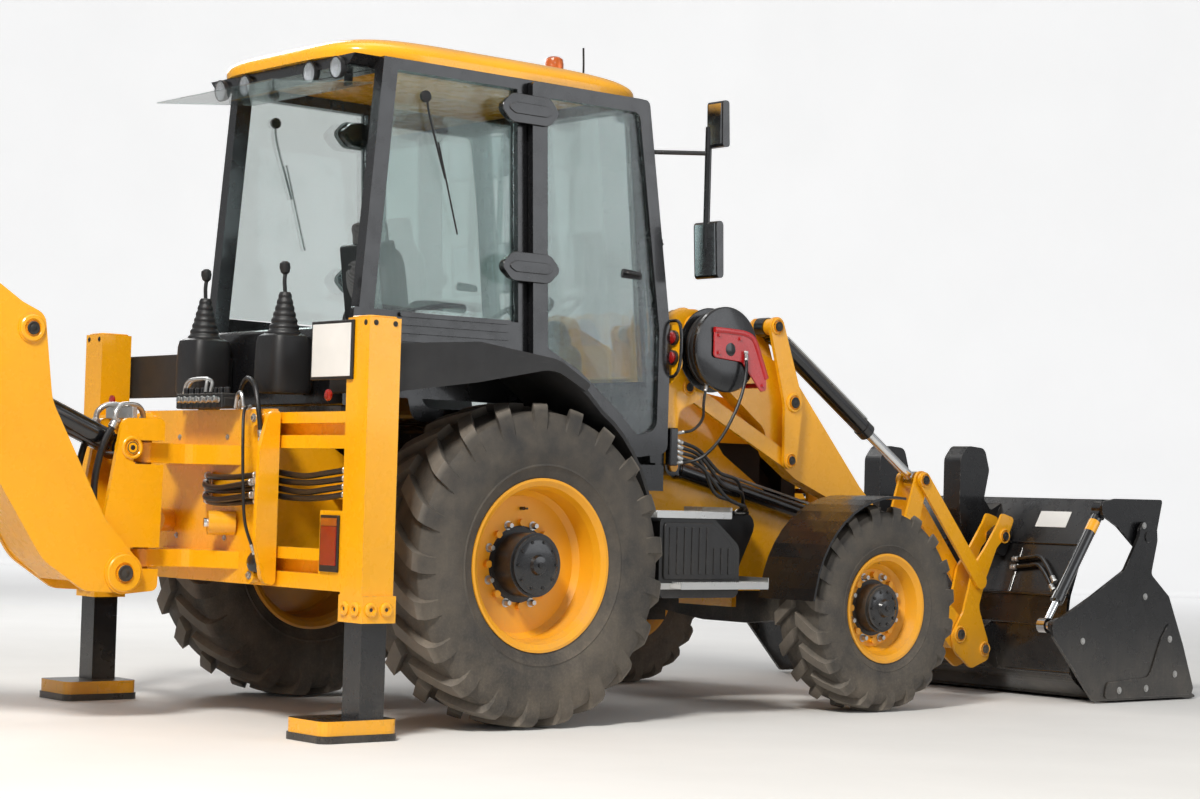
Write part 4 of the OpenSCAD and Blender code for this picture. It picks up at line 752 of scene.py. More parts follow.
for side_name, s in SIDES:
    for end, centre, *sizes in TYRES:
        tyre(f"{end}_tyre_dressed_{side_name}", f"wheel_{end[0]}{side_name[0]}",
             np.multiply(centre, (1.0, s, 1.0)), *sizes, f"{end}_tyre_{side_name}")
    for end, centre, *sizes in HUB_ROWS:
        hub(end, side_name, np.multiply(centre, (1.0, s, 1.0)), s, *sizes)

# Cab


def cab_roof():
    """Rounded cap: rings of one plan, a superellipse, drawn in as they rise along the profile [share,
    height]."""
    profile = eased([[1.0, 0], [1.002, 22], [0.998, 40], [0.975, 62], [0.90, 88], [0.72, 118], [0.45, 142],
                     [0.2, 152], [0.01, 154]], 3)
    sides, middle, half_length, half_width, foot = 120, 118, 884, 621, 2900.5
    t = np.linspace(0, 2 * np.pi, sides, endpoint=False)
    x, y = power(np.cos(t), 0.42), power(np.sin(t), 0.36)
    grid = np.stack([middle + half_length * x[None] * profile[:, :1], half_width * y[None] * profile[:, :1],
                     np.repeat(foot + profile[:, 1:], sides, 1)], axis=-1)
    seat = button(84, 18, 74, 22, (*BEACON, 3030), UP, 40)
    piece("roof_shell", [skin(grid, cap=True), seat], "machine", yellow_paint, angle=40,
          stands_for=["cab_roof"])


cab_roof()


def lamp(at, radius, depth, way):
    """Round lamp: a turned housing with a rim, its dished reflector and its lens, along the way it shines."""
    way = np.array(way, float)
    at = np.array(at, float)
    housing = turned([[radius * 0.55, -depth], [radius * 0.95, -depth * 0.6], [radius * 1.06, -4],
                      [radius * 1.06, 4], [radius * 0.95, 6], [radius * 0.9, -2], [0, -2]], at, way, 28)
    dish = turned([[radius * 0.9, 1], [radius * 0.7, -1], [radius * 0.35, -1.5], [radius * 0.2, 3], [0, 3]],
                  at, way, 28)
    lens = turned([[radius * 0.92, 2], [radius * 0.92, 5], [radius * 0.6, 10], [0, 12]], at, way, 28)
    return housing, dish, lens


def work_lamps():
    """Round lamps of the roof's edge, the beacon, the aerial, and the tail lamps and reflectors of rails
    and posts."""
    # rows: place, radius, depth, way
    rows = [((-750, y, 2846), 47, 40, (-1, 0, -0.12)) for y in (-475, -265, 265, 475)]
    rows += [((948, y, 2852), 42, 36, (1, 0, -0.05)) for y in (-430, 430)]
    parts = [lamp(*row) for row in rows]
    posts = [(s * 660, z) for s in (-1, 1) for z in (1778, 1683)]
    tail_y, tail_half = (-945, 945), 56
    # x of the tail lamps' housings, their lenses and the lenses' outer faces, which the carriage passes
    rail, lens, outer = -1018.5, -1028, -1032
    beacon_foot = button(62, 16, 52, 24, (*BEACON, 3051), UP, 32)
    tail = [slab((lens - 1, y - tail_half - 10, 674), (rail, y + tail_half + 10, 906), 6) for y in tail_y]
    red_rings = [button(36, 12, 31, 14, (1099, y, z), BACK) for y, z in posts]
    aerial = pipe([(790, -300, 2990), (790, -300, 3080), (786, -300, 3168)], 5, 8)
    piece("lamp_housings", [p[0] for p in parts] + [beacon_foot, aerial] + tail + red_rings, "machine",
          black_plastic, stands_for=["lamps"])
    piece("lamp_reflectors", [p[1] for p in parts], "machine", rod_chrome)
    piece("lamp_lenses", [p[2] for p in parts], "machine", clear_glass)
    reds = [button(29, 8, 20, 13, (1086, y, z), BACK, crown=2) for y, z in posts]
    reds += [slab((outer, y - tail_half, 700), (lens, y + tail_half, 860), 1.8) for y in tail_y]
    reds += [button(24, 8, 14, 12, (-1019, y, 1400), BACK, 24) for y in (-900, 900)]
    piece("red_lamps", reds, "machine", red_lens)
    ambers = [turned([[47, 0], [47, 60], [42, 84], [26, 94], [0, 96]], (*BEACON, 3074), sides=36)]
    ambers += [slab((outer, y - tail_half, 862), (lens, y + tail_half, 894), 1.8) for y in tail_y]
    piece("amber_lamps", ambers, "machine", amber_lens)


work_lamps()


CUSHION_FILL = 0.62


def cushion(centre, half, tilt):
    """Stuffed pad: a superellipsoid, its sides drawn in between the corners, a piped seam round its middle
    and sewn channels pressed into its face. Tilt turns it about the cross axis."""
    v = np.linspace(-np.pi / 2, np.pi / 2, 33)[:, None]
    u = np.linspace(0, 2 * np.pi, 64, endpoint=False)[None]
    x = power(np.cos(v), 0.45) * power(np.cos(u), 0.35)
    y = power(np.cos(v), 0.45) * power(np.sin(u), 0.35)
    z = np.repeat(power(np.sin(v), 0.62), 64, axis=1)
    waist = 1 - 0.05 * np.cos(np.pi * z / 2) ** 2 * (1 - np.abs(x * y))
    beside = np.exp(-((z - 0.2) / 0.1) ** 2) + np.exp(-((z + 0.2) / 0.1) ** 2)
    seam = 1 + 0.022 * np.exp(-(z / 0.10) ** 2) - 0.02 * beside
    crown = 1 + 0.12 * CUSHION_FILL * (1 - x ** 2) * (1 - y ** 2)
    channel = np.mod(x * 3 / 2 + 0.5, 1) - 0.5
    z = z * crown - 0.10 * np.exp(-(channel / 0.05) ** 2) * (np.abs(x) < 0.8) * (z > 0.6)
    p = np.stack([x * waist * seam * half[0], y * waist * seam * half[1], z * half[2]], axis=-1)
    c, s = np.cos(tilt), np.sin(tilt)
    p = np.stack([p[..., 0] * c + p[..., 2] * s, p[..., 1], -p[..., 0] * s + p[..., 2] * c], axis=-1)
    return skin(p + np.array(centre, float), cap=True)


def driver_seat():
    """Sprung seat on its base: shell, bellows, folding arms, and three cushions."""
    foot = rounded([[-140, 1381, 10], [-110, 1530, 30], [250, 1530, 30], [280, 1381, 10]])
    back = rounded([[-170, 1560, 20], [-250, 2150, 40], [-215, 2160, 40], [-130, 1580, 20]])
    base = [panel(foot, -190, 190, ease=12),
            carried([(70, 0, z) for z in (1525, 1545, 1565, 1590)], ring_of(150, 4), [1.2, 0.95, 1.1, 1.3]),
            panel(back, -205, 205, ease=10)]
    base += [pipe([(-170, s * 235, 1700), (-150, s * 250, 1840), (-60, s * 250, 1868),
                   (150, s * 250, 1865)], 22, 12) for s in (-1, 1)]
    piece("seat_base", base, "machine", black_plastic, stands_for=["seat"])
    lean = 1.42 - np.pi
    # rows: name, centre, half sizes, tilt
    for name, centre, half, tilt in (("seat_cushion", (75, 0, 1640), (225, 225, 58), -0.06),
                                     ("seat_back", (-165, 0, 1890), (245, 215, 52), lean),
                                     ("head_rest", (-215, 0, 2195), (62, 120, 36), lean)):
        pad = piece(name, cushion(centre, half, tilt), "machine", seat_fabric, angle=60)


driver_seat()


def hoop(centre, radius, section, axes, steps=64):
    """A section carried round a circle: its first number outwards and its second along the circle's axis."""
    t = np.linspace(0, 2 * np.pi, steps, endpoint=False)
    circle = np.column_stack([np.cos(t), np.sin(t), 0 * t]) @ axes.T
    return skin(radius * circle[:, None] + np.array(centre, float) + section[None, :, :1] * circle[:, None]
                + section[None, :, 1:] * axes[:, 2], closed_v=True)


def driver_controls():
    """Front console with its wheel, and the rear consoles with pleated gaiters and their levers."""
    console = rounded([[765, 1121, 10], [705, 1640, 60], [770, 1790, 50], [948, 1722, 60], [1000, 1121, 10]])
    dials = rounded([[800, 1770, 20], [775, 1862, 30], [870, 1858, 40], [940, 1740, 20]])
    column = pipe([(745, 0, 1720), (700, 0, 1800), (664, 0, 1856)], 27, 14)
    parts = [panel(console, -168, 168, ease=16), column, panel(dials, -120, 120, ease=10)]
    # steering wheel: its centre, radius and axis
    middle, radius, tilt = np.array([655, 0, 1868]), 190, np.radians(-33)
    axis = (np.sin(tilt), 0, np.cos(tilt))
    axes = axes_of(axis)
    parts.append(hoop(middle, radius, ring_of(14, 12), axes))
    for a in (0.5, 2.6, 4.71):
        spoke = np.array([[r * np.cos(a), r * np.sin(a), -14 * (1 - r / radius)] for r in (20, 80, 140, 186)])
        parts.append(carried(spoke @ axes.T + middle, box_ring(16, 6, 12)))
    parts.append(turned([[46, -24], [46, -6], [30, 4], [0, 6]], middle, axis, 28))
    parts.append(pipe([(700, 60, 1790), (690, 140, 1815), (680, 215, 1830)], 7, 8))
    piece("front_console", parts, "machine", black_plastic, stands_for=["controls"])
    rest = []
    x = -880
    for y in (-330, 330):
        body = [(x, y, z) for z in (1421, 1440, 1560, 1640, 1668, 1680)]
        rest.append(carried(body, box_ring(108, 104), [0.93, 1.0, 0.99, 0.96, 0.90, 0.70]))
        # pleats: the radius swings out and in as it narrows upwards
        h = np.linspace(0, 1, 40)
        pleat = (74 - 52 * h ** 0.8) + 7 * np.abs(np.sin(h * np.pi * 7)) * (1 - 0.5 * h)
        rest.append(turned(np.column_stack([pleat, 1672 + 190 * h]), (x, y, 0), sides=28))
        knob = y - np.sign(y) * 4
        rest.append(pipe([(x, y, 1855), (x - 4, (y + knob) / 2, 1910), (x, knob, 1950)], 9, 10))
        rest.append(turned([[8, 0], [19, 10], [24, 32], [22, 50], [12, 58], [0, 60]], (x, knob, 1938),
                           (-0.1, 0, 1), 24))
        box = rounded([[-868, 1440, 20], [-868, 1600, 30], [-762, 1600, 20], [-762, 1440, 20]])
        rest.append(panel(box, y - 66, y + 66, ease=8))
    piece("rear_consoles", rest, "machine", black_plastic)


driver_controls()


def hinge_plate(x, z, reach, wide, high, end_ease, side_ease):
    """A long six-sided plate with round corners: points ahead and behind at reach, its long sides half
    wide."""
    rows = [[x - reach, z, end_ease], [x - wide, z + high, side_ease], [x + wide, z + high, side_ease],
            [x + reach, z, end_ease], [x + wide, z - high, side_ease], [x - wide, z - high, side_ease]]
    return rounded(rows, 6)


def cab_trim():
    """Hinge covers with their ribs, door handles and the wipers of the quarter panes."""
    for side_name, s in SIDES:
        cover = []
        for z in (2040, 2755):
            # the pillar leans back by 4 in 100
            x = 225 - (z - 1640) * 0.04
            cover.append(panel(hinge_plate(x, z, 175, 110, 66, 30, 60), s * 671 - 3, s * 671 + 3, ease=2.4))
            cover.append(panel(hinge_plate(x, z, 140, 90, 26, 20, 30), s * 676 - 3, s * 676 + 2, ease=2.4))
        plate = rounded([[770, 2040, 12], [778, 2085, 12], [900, 2075, 16], [905, 2040, 16]])
        handle = panel(plate, s * 640 - 7, s * 640 + 7, ease=4)
        grip = pipe([(790, s * 648, 2062), (800, s * 668, 2062), (860, s * 668, 2058),
                     (872, s * 648, 2056)], 8)
        piece("hinge_covers_" + side_name, cover, "machine", black_paint)
        piece("door_handle_" + side_name, [handle, grip], "door_" + side_name[0],
              black_plastic)
        wiper = [pipe([(-362, s * 612, 2754), (-340, s * 618, 2650), (-250, s * 618, 2400)], 5, 8),
                 pipe([(-290, s * 612, 2560), (-230, s * 612, 2360), (-170, s * 612, 2160)], 4, 8),
                 button(26, 16, 16, 22, (-362, s * 598, 2754), (0, s, 0), 20)]
        piece("quarter_wiper_" + side_name, wiper, "machine", black_plastic)


cab_trim()


def plate_holder():
    """Blank plate in its black frame on the right rear upright's inner side."""
    hold = [slab((-1030, -1075, 1462), (-1018, -772, 1706), 5)]
    hold += [slab((-1018, y - 12, 1500), (-1003, y + 12, 1660), 3) for y in (-1010, -860)]
    piece("plate_frame", hold, "machine", black_plastic)
    face = slab((-1033, -1062, 1475), (-1029, -785, 1693), 2)
    piece("blank_plate", face, "machine", white_plate)


plate_holder()


def reel_and_bracket():
    """Hose reel: two pressed flanges and a drum under turns of hose, with the red guard across it."""
    at = np.array([1360, -690, 1735], float)
    left, right = (0, 1, 0), (0, -1, 0)
    flange = [[0, -3], [60, -3], [72, -9], [150, -9], [164, -3], [198, -3], [205, 0], [198, 3], [0, 3]]
    cover = [[205, -14], [206, 4], [200, 10], [176, 15], [120, 19], [60, 20], [0, 20]]
    seat = rounded([[1210, 1640, 20], [1210, 1790, 20], [1430, 1790, 40], [1430, 1660, 40]])
    parts = [turned(flange, at + [0, 56, 0], left, 48), turned(cover, at + [0, -56, 0], right, 64),
             turned([[135, -50], [135, 50]], at, left, 48), button(44, 10, 30, 16, at + [0, -72, 0], right),
             panel(seat, -628, -613, ease=3)]
    piece("hose_reel_drum", parts, "machine", black_paint, stands_for=["hose_reel"])
    # turns of hose in two layers: radius of the layer and its places along the drum
    axes = np.array([[1.0, 0, 0], [0, 0, 1], [0, 1, 0]])
    turns = [hoop(at + [0, y, 0], layer, ring_of(13), axes, 48)
             for layer, places in ((149, (-40, -13, 13, 40)), (172, (-27, 0, 27))) for y in places]
    piece("reel_hose", turns, "machine", hose_rubber)
    # the guard's two faces
    inner, outer = -768, -777
    plate = rounded([[1252, 1692, 20], [1252, 1826, 24], [1462, 1816, 40], [1520, 1788, 30], [1604, 1606, 20],
                     [1608, 1552, 16], [1570, 1540, 20], [1440, 1678, 40]])
    guard = joined([panel(plate, outer, inner, ease=3), slab((1560, inner, 1560), (1592, -628, 1584), 4)])
    edge = [(1256, 1824), (1360, 1822), (1462, 1815), (1518, 1786), (1562, 1700), (1605, 1606)]
    lip = carried(eased([(x, -773, z) for x, z in edge]), box_ring(9, 14, 12))
    heads = [(1282, 1800), (1282, 1716), (1420, 1790), (1455, 1700), (1578, 1572)]
    heads = copies(bolt(9, 8), [(x, outer, z) for x, z in heads], right)
    piece("reel_guard", [guard, lip, heads], "machine", red_paint)


reel_and_bracket()


# Hoses, pipes and their couplings


def sleeve(radius, length=46):
    """Crimped sleeve and hexagon nut of a hose end, built along z from 0."""
    r = radius
    crimp = turned([[r * 0.9, 0], [r * 1.28, 2], [r * 1.28, 8], [r * 1.16, 10], [r * 1.28, 12],
                    [r * 1.28, length * 0.6], [r * 1.05, length * 0.64], [r * 0.8, length]], (0, 0, 0),
                   sides=12)
    nut = turned([[r * 1.3, length * 0.72], [r * 1.42, length * 0.75], [r * 1.42, length * 0.95],
                  [r * 1.3, length]], (0, 0, 0), sides=6)
    return joined([crimp, nut])


def hose(name, body, radius, points, ends):
    """A hose along a smooth line. Its two sleeves go to the list of ends."""
    line = eased(points, 8)
    tube = piece(name, carried(line, ring_of(radius)), body, hose_rubber)
    # a sleeve starts 30 mm before the hose's end
    for at, way in ((line[0], line[0] - line[1]), (line[-1], line[-1] - line[-2])):
        way = way / np.linalg.norm(way)
        ends.append(copies(sleeve(radius), [at - way * 30], way))


def rear_hoses():
    """Hoses of the kingpost, the bundle between the carriage's arms, and those at the carriage's right
    side."""
    post_ends, carriage_ends, frame_ends = [], [], []
    for side_name, s in SIDES:
        hose("kingpost_hose_" + side_name, "slew_post", 15,
             [(-1550, s * 84, 1272), (-1602, s * 82, 1170), (-1634, s * 80, 1020), (-1630, s * 80, 870),
              (-1592, s * 80, 740)], post_ends)
    # rows: height, step out, dip of each hose of the bundle
    for number, (z, out, dip) in enumerate([(950, 0, 10), (976, 22, 22), (1004, 4, 12), (1030, 26, 26),
                                            (1058, 6, 8)]):
        hose(f"bundle_hose_{number}", "shift_carriage", 13,
             [(-1086 - out * 0.2, -84, z), (-1118 - out, -160, z - dip * 0.6), (-1126 - out, -260, z - dip),
              (-1118 - out, -380, z - dip * 0.6), (-1098 - out, -524, z + 6)], carriage_ends)
    for number, z in enumerate((990, 1022, 1056, 1090)):
        hose(f"frame_hose_{number}", "machine", 13, [(-976, -374, z), (-988, -520, z - 14),
                                                     (-992, -700, z - 20 - 6 * (number % 2)),
                                                     (-990, -860, z - 12), (-984, -1012, z + 4)], frame_ends)
    hose("carriage_thin_hose", "shift_carriage", 7,
         [(-1082, -392, 1352), (-1128, -426, 1334), (-1156, -468, 1215), (-1162, -492, 1010),
          (-1154, -504, 860), (-1116, -516, 744)], carriage_ends)
    hose("carriage_loop_hose", "shift_carriage", 11,
         [(-1066, -280, 1362), (-1076, -312, 1432), (-1094, -390, 1474), (-1112, -478, 1440),
          (-1118, -520, 1350), (-1104, -528, 1225)], carriage_ends)
    piece("kingpost_sleeves", post_ends, "slew_post", bare_steel)
    piece("carriage_sleeves", carriage_ends, "shift_carriage", bare_steel)
    piece("frame_sleeves", frame_ends, "machine", bare_steel)


rear_hoses()


def kingpost_pipes():
    """Steel pipes bent over the top of the kingpost, and the block that they come from."""
    pipes = [pipe([(-1388, s * 34, 1258), (-1398, s * 46, 1316), (-1436, s * 60, 1346), (-1506, s * 68, 1346),
                   (-1544, s * 80, 1316), (-1550, s * 84, 1268)], 12, 12) for s in (-1, 1)]
    pipes.append(slab((-1486, -116, 1288), (-1462, 116, 1339), 3))
    piece("kingpost_pipes", pipes, "slew_post", bare_steel)


def carriage_fittings():
    """The valve bank on the carriage with its caps and pipes, slew rods, a round valve, and bolt heads."""
    sections, width = range(-292, 60, 48), 44
    bank = [slab((-1158, y, 1346), (-1076, y + width, 1412), 4) for y in sections]
    bank.append(slab((-1150, -300, 1352), (-1084, 92, 1392), 3))
    caps = [button(15, 22, 11, 28, (-1117, y + width / 2, 1411), UP, 14) for y in sections]
    piece("valve_bank", bank, "shift_carriage", dark_iron)
    piece("valve_caps", caps, "shift_carriage", black_paint)
    nuts = copies(sleeve(10, 34), [(-1158, y + width / 2, 1380) for y in sections[:-1]], (-1, 0, 0.15))
    lines = [pipe([(-1140, -130 - 40 * k, 1418), (-1136, -130 - 40 * k, 1462), (-1120, -100 + k * 30, 1478),
                   (-1096, 60 + k * 30, 1470), (-1085, 120 + k * 24, 1420), (-1082, 132 + k * 24, 1348)], 8)
             for k in (0, 1)]
    lines.append(pipe([(-1100, -310, 1350), (-1104, -330, 1402), (-1112, -372, 1410), (-1110, -388, 1352)],
                      9))
    piece("valve_pipes", [nuts] + lines, "shift_carriage", bare_steel)
    rods = [carried([(-1158, s * 225, 855), (-1169, s * 220, 855), (-1180, s * 215, 855)], ring_of(20, 20))
            for s in (-1, 1)]
    piece("slew_rods", rods, "shift_carriage", rod_chrome)
    ball = turned([[30, 0], [44, 12], [47, 30], [40, 50], [24, 62], [0, 66]], (-1065, -506, 694),
                  (-1, 0, 0.1), 28)
    piece("carriage_valve", ball, "shift_carriage", black_paint)
    heads = [copies(bolt(13, 12), [(-1105, y, z) for y in (-470, 470) for z in (1305, 640)], BACK),
             copies(bolt(9, 8), [(-1065, s * y, z) for s in (-1, 1) for y in (200, 500)
                                 for z in (1225, 790)], BACK)]
    piece("carriage_bolts", heads, "shift_carriage", bare_steel)


def tower_fittings():
    """Bosses and bolt heads on the stabilisers' towers, and the lids on top."""
    # the towers' rear face, outer face, height of the bosses and height of the upper bolts
    rear, outer, low, high = -1017.5, 1177.5, 530, 1692
    boss = turned([[30, -4], [30, 7], [24, 12], [15, 12], [13, 5], [0, 5]], (0, 0, 0), sides=28)
    lid = np.array([[-1012, 1028, 22], [-1012, 1172, 22], [-868, 1172, 22], [-868, 1028, 22]])
    bosses, marks = [], []
    for s in (-1, 1):
        behind = [(rear, s * y, low) for y in (1062, 1138)]
        beside = [(x, s * (outer + 9), low) for x in (-902, -978)]
        bosses += [copies(boss, behind, BACK), copies(boss, beside, (0, s, 0)),
                   panel(rounded(lid * [1, s, 1]), 1713, 1722, plane="level", ease=4)]
        marks += [copies(bolt(8, 5), [(rear, s * (1100 + d), high) for d in (-48, 48)], BACK),
                  copies(bolt(8, 5), [(-940 + d, s * outer, high) for d in (-48, 48)], (0, s, 0)),
                  copies(bolt(9, 6), behind, BACK), copies(bolt(9, 6), beside, (0, s, 0))]
    piece("tower_bosses", bosses, "machine", yellow_paint)
    piece("tower_bolts", marks, "machine", dark_iron)


kingpost_pipes()
carriage_fittings()
tower_fittings()


def pin_ends():
    """Each pin end: a raised ring in yellow and a dished dark cap, on both sides of the machine."""
    # rows by the pin's name: body of ring, body of cap, x, z, face of ring, face of cap, outer
    # radius and cap radius
    pins = {"boom_foot": ("boom_body", "slew_post", -1524, 635, 158, 172, 80, 35),
            "boom_end": ("boom_body", "boom_body", -3530, 2450, 156, 164, 72, 35),
            "dipper_ram_foot": ("boom_body", "boom_body", -1985, 1639, 156, 164, 56, 28),
            "boom_ram_eye": ("boom_body", "boom_body", -2726, 1693, 158, 158, 38, 24),
            "boom_ram_foot": ("slew_post", "slew_post", -1484, 1165, 118, 121, 50, 28),
            "dipper_ram_eye": ("dipper_body", "dipper_body", -3568, 2878, 110, 110, 52, 28),
            "bucket_ram_foot": ("dipper_body", "dipper_body", -3736, 2196, 115, 122, 46, 24),
            "lever_foot": ("hoe_lever", "dipper_body", -3699, 1227, 154, 166, 44, 26),
            "lever_end": ("hoe_lever", "hoe_lever", -3998, 1250, 154, 160, 38, 24),
            "hoe_pivot": ("hoe", "hoe", -3740, 930, 132, 142, 44, 26),
            "hoe_link": ("hoe", "hoe", -3960, 922, 132, 142, 38, 24),
            "arm_foot": ("machine", "machine", 1260, 1840, 612, 620, 56, 35),
            "level_link": ("machine", "machine", 1247, 1551, 612, 618, 40, 22),
            "level_pivot": ("level_lever", "level_lever", 1958, 1509, 612, 622, 50, 28),
            "level_top": ("level_lever", "level_lever", 1832, 1882, 612, 622, 42, 25),
            "level_low": ("level_lever", "level_lever", 1945, 1220, 612, 622, 38, 22),
            "tip_pivot": ("tip_lever", "tip_lever", 2820, 740, 581, 589, 46, 28),
            "tip_top": ("tip_link", "tip_lever", 2948, 1148, 603, 611, 38, 24),
            "hitch_pivot": ("shovel", "shovel", 3275, 334, 581, 589, 46, 28),
            "hitch_upper": ("shovel", "shovel", 3619, 861, 581, 589, 40, 24),
            "hitch_lower": ("shovel", "shovel", 3475, 253, 581, 589, 40, 24)}
    rings, caps = {}, {}
    for ring_body, cap_body, x, z, ring_face, cap_face, outer, inner in pins.values():
        for s in (-1, 1):
            profile = [[outer, -2], [outer, 5], [outer - 5, 9], [inner + 11, 9], [inner + 6, 4],
                       [inner + 6, -2]]
            ring = turned(profile, (x, s * ring_face, z), (0, s, 0), 32, hollow=True)
            rings.setdefault(ring_body, []).append(ring)
            dish = [[inner - 0.5, -2], [inner - 0.5, 4], [inner - 4, 6], [inner * 0.6, 3], [inner * 0.5, 3],
                    [inner * 0.4, 5], [0, 6]]
            caps.setdefault(cap_body, []).append(turned(dish, (x, s * cap_face, z), (0, s, 0), 24))
    for body, shapes in rings.items():
        piece("pin_rings_" + body, shapes, body, yellow_paint)
    for body, shapes in caps.items():
        piece("pin_caps_" + body, shapes, body, dark_iron)


pin_ends()


def loader_side():
    """Hoses from the coupling row at each tower's foot to the side panel, the reel's, and the lamp's guard
    tube."""
    for side_name, s in SIDES:
        ends = []
        # rows: height at the tower, x and height of the lowest part
        rows = [(1290, 1480, 1120), (1264, 1500, 1064), (1238, 1440, 1024), (1212, 1520, 1000)]
        for number, (z, x, low) in enumerate(rows):
            step = 16 * number
            hose(f"loader_hose_{number}_{side_name}", "machine", 9,
                 [(1160, s * 636, z), (1290, s * (648 + step * 0.3), z - 42),
                  (x - 60, s * (655 + step * 0.3), low + 26), (x + 70, s * (650 + step * 0.2), low - 14),
                  (1640, s * (600 - step * 0.4), 985), (1668 + step, s * 545, 968),
                  (1700 + step, s * (486 - number), 956)], ends)
        piece("loader_sleeves_" + side_name, ends, "machine", bare_steel)
        row = [slab((1104, s * 632 - 20, 1170), (1152, s * 632 + 20, 1350), 5),
               slab((1620, s * 466 - 22, 944), (1790, s * 466 + 22, 962), 4)]
        piece("coupling_row_" + side_name, row, "machine", black_paint)
    ends = []
    hose("reel_feed_hose", "machine", 8,
         [(1452, -788, 1716), (1450, -794, 1630), (1422, -796, 1520), (1376, -786, 1410), (1326, -752, 1300),
          (1270, -692, 1215), (1210, -650, 1190), (1160, -636, 1186)], ends)
    hose("reel_return_hose", "machine", 7, [(1262, -718, 1560), (1252, -714, 1480), (1256, -704, 1400),
                                            (1226, -672, 1345), (1164, -636, 1328)], ends)
    piece("reel_sleeves", ends, "machine", bare_steel)
    guard = pipe([(1092, -632, 1858), (1092, -690, 1856), (1090, -716, 1820), (1090, -722, 1720),
                  (1090, -712, 1640), (1090, -680, 1598), (1094, -624, 1590)], 8)
    piece("lamp_guard", guard, "machine", black_paint)


loader_side()


def ram_pipes():
    """Steel pipe along each loader ram's barrel, from a port near its base to one near its gland."""
    radius = 42
    # rows: name of the barrel and its body, base and far end in x and z, y, and where the pipe starts and
    # stops
    for name, base, end, y, reach in (("crowd_barrel", (1832, 1882), (2948, 1148), 518, (170, 850)),
                                      ("lift_barrel", (1300, 1170), (2600, 880), 410, (190, 1120))):
        base, end = np.array(base, float), np.array(end, float)
        d = (end - base) / np.linalg.norm(end - base)
        n = np.array([-d[1], d[0]])
        start, stop = reach
        line = [(start, radius - 4), (start + 6, radius + 10), (start + 40, radius + 14),
                (stop - 40, radius + 14), (stop - 6, radius + 10), (stop, radius - 4)]
        line = [base + d * a + n * b for a, b in line]
        shapes, ports = [], []
        for s in (-1, 1):
            shapes.append(pipe([(p[0], s * y, p[1]) for p in line], 7))
            for a in reach:
                at = base + d * a + n * (radius - 6)
                ports.append(button(15, 12, 11, 14, (at[0], s * y, at[1]), (n[0], 0, n[1]), 6))
            for a in (60, stop + 22):
                at = base + d * a
                ports.append(turned([[radius + 0.5, 0], [radius + 5, 3], [radius + 5, 21],
                                     [radius + 0.5, 24]], (at[0], s * y, at[1]), (d[0], 0, d[1]), 28))
        piece(name + "_pipes", shapes, name, bare_steel)
        piece(name + "_ports", ports, name, ram_black)


ram_pipes()


def steps_trim():
    """Serrated slats, upturned ends and edge strips of the steps, and the ribbed front of the box between
    them."""
    tooth, slat_pitch, pair = 15.0, 52.0, 13
    grating, ribs = [], []
    # rows: x0, x1, inner and outer y, top
    for x0, x1, y0, y1, top in ((700, 1165, 690, 1020, 949), (800, 1350, 720, 1085, 626)):
        for s in (-1, 1):
            teeth = np.arange(y0 + 8, y1 - 8, tooth)
            edge = np.column_stack([np.concatenate([teeth, teeth + tooth / 2]),
                                    np.repeat([top + 2.0, top + 9.0], len(teeth))])
            edge = edge[np.argsort(edge[:, 0])]
            edge = np.vstack([[[y0 + 4, top - 1]], edge, [[edge[-1, 0] + 1, top - 1]]]) * [s, 1]
            for x in np.arange(x0 + 6, x1 - 20, slat_pitch):
                grating += [panel(edge, a, a + 5, plane="across", ease=1) for a in (x, x + pair)]
            y = sorted((s * y0, s * y1))
            grating.append(slab((x1 - 1, y[0], top - 19), (x1 + 4, y[1], top + 30), 2))
            grating.append(slab((x0, s * y1 - 2, top - 24), (x1, s * y1 + 2, top + 8), 1.5))
    front = rounded([[752, 645, 20], [752, 905, 20], [1050, 905, 20], [1196, 786, 30], [1196, 645, 20]])
    for s in (-1, 1):
        ribs.append(panel(front, s * 1014 - 5, s * 1014 + 5, ease=3))
        ribs += [slab((x, s * 1020 - 4, 668), (x + 14, s * 1020 + 4, 884 if x < 1040 else 790), 3)
                 for x in range(780, 1180, 46)]
    piece("step_gratings", grating, "machine", bare_steel)
    piece("step_box_front", ribs, "machine", step_paint)


steps_trim()


def bucket_bars():
    """Welded bars across the bucket's back, and two short ones up it."""
    # rows: x, z, half depth and half height of a bar
    rows = [(3600, 560, 12, 9), (3574, 400, 8, 6), (3636, 150, 9, 9), (3716, 830, 7, 7)]
    bars = [carried([(x, y, z) for y in (-1036, 0, 1036)], box_ring(a, b, 16, 0.8)) for x, z, a, b in rows]
    bars += [carried([(3598 + 50 * k, y, 560 + 120 * k) for k in (0, 1, 2)], box_ring(9, 6, 12))
             for y in (-640, 640)]
    piece("bucket_bars", bars, "shovel", ram_black)


def bucket_piping():
    """Two pipes on each side of the bucket's back, with a fitting at each end."""
    runs, ends = [], []
    for s in (-1, 1):
        for k in (0, 1):
            drop = 44 * k
            line = [(3648 - 14 * k, s * 660, 742 - drop), (3652 - 14 * k, s * 740, 752 - drop),
                    (3654 - 14 * k, s * 800, 758 - drop), (3636 - 12 * k, s * 862, 716 - drop),
                    (3612 - 10 * k, s * 922, 655 - drop)]
            runs.append(pipe(line, 12, 12))
            ends += [copies(sleeve(12, 40), [line[0]], (0, -s, -0.1)),
                     copies(sleeve(12, 40), [line[-1]], (-0.2, s * 0.6, -0.6))]
    piece("bucket_pipes", runs, "shovel", ram_black)
    piece("bucket_pipe_ends", ends, "shovel", bare_steel)


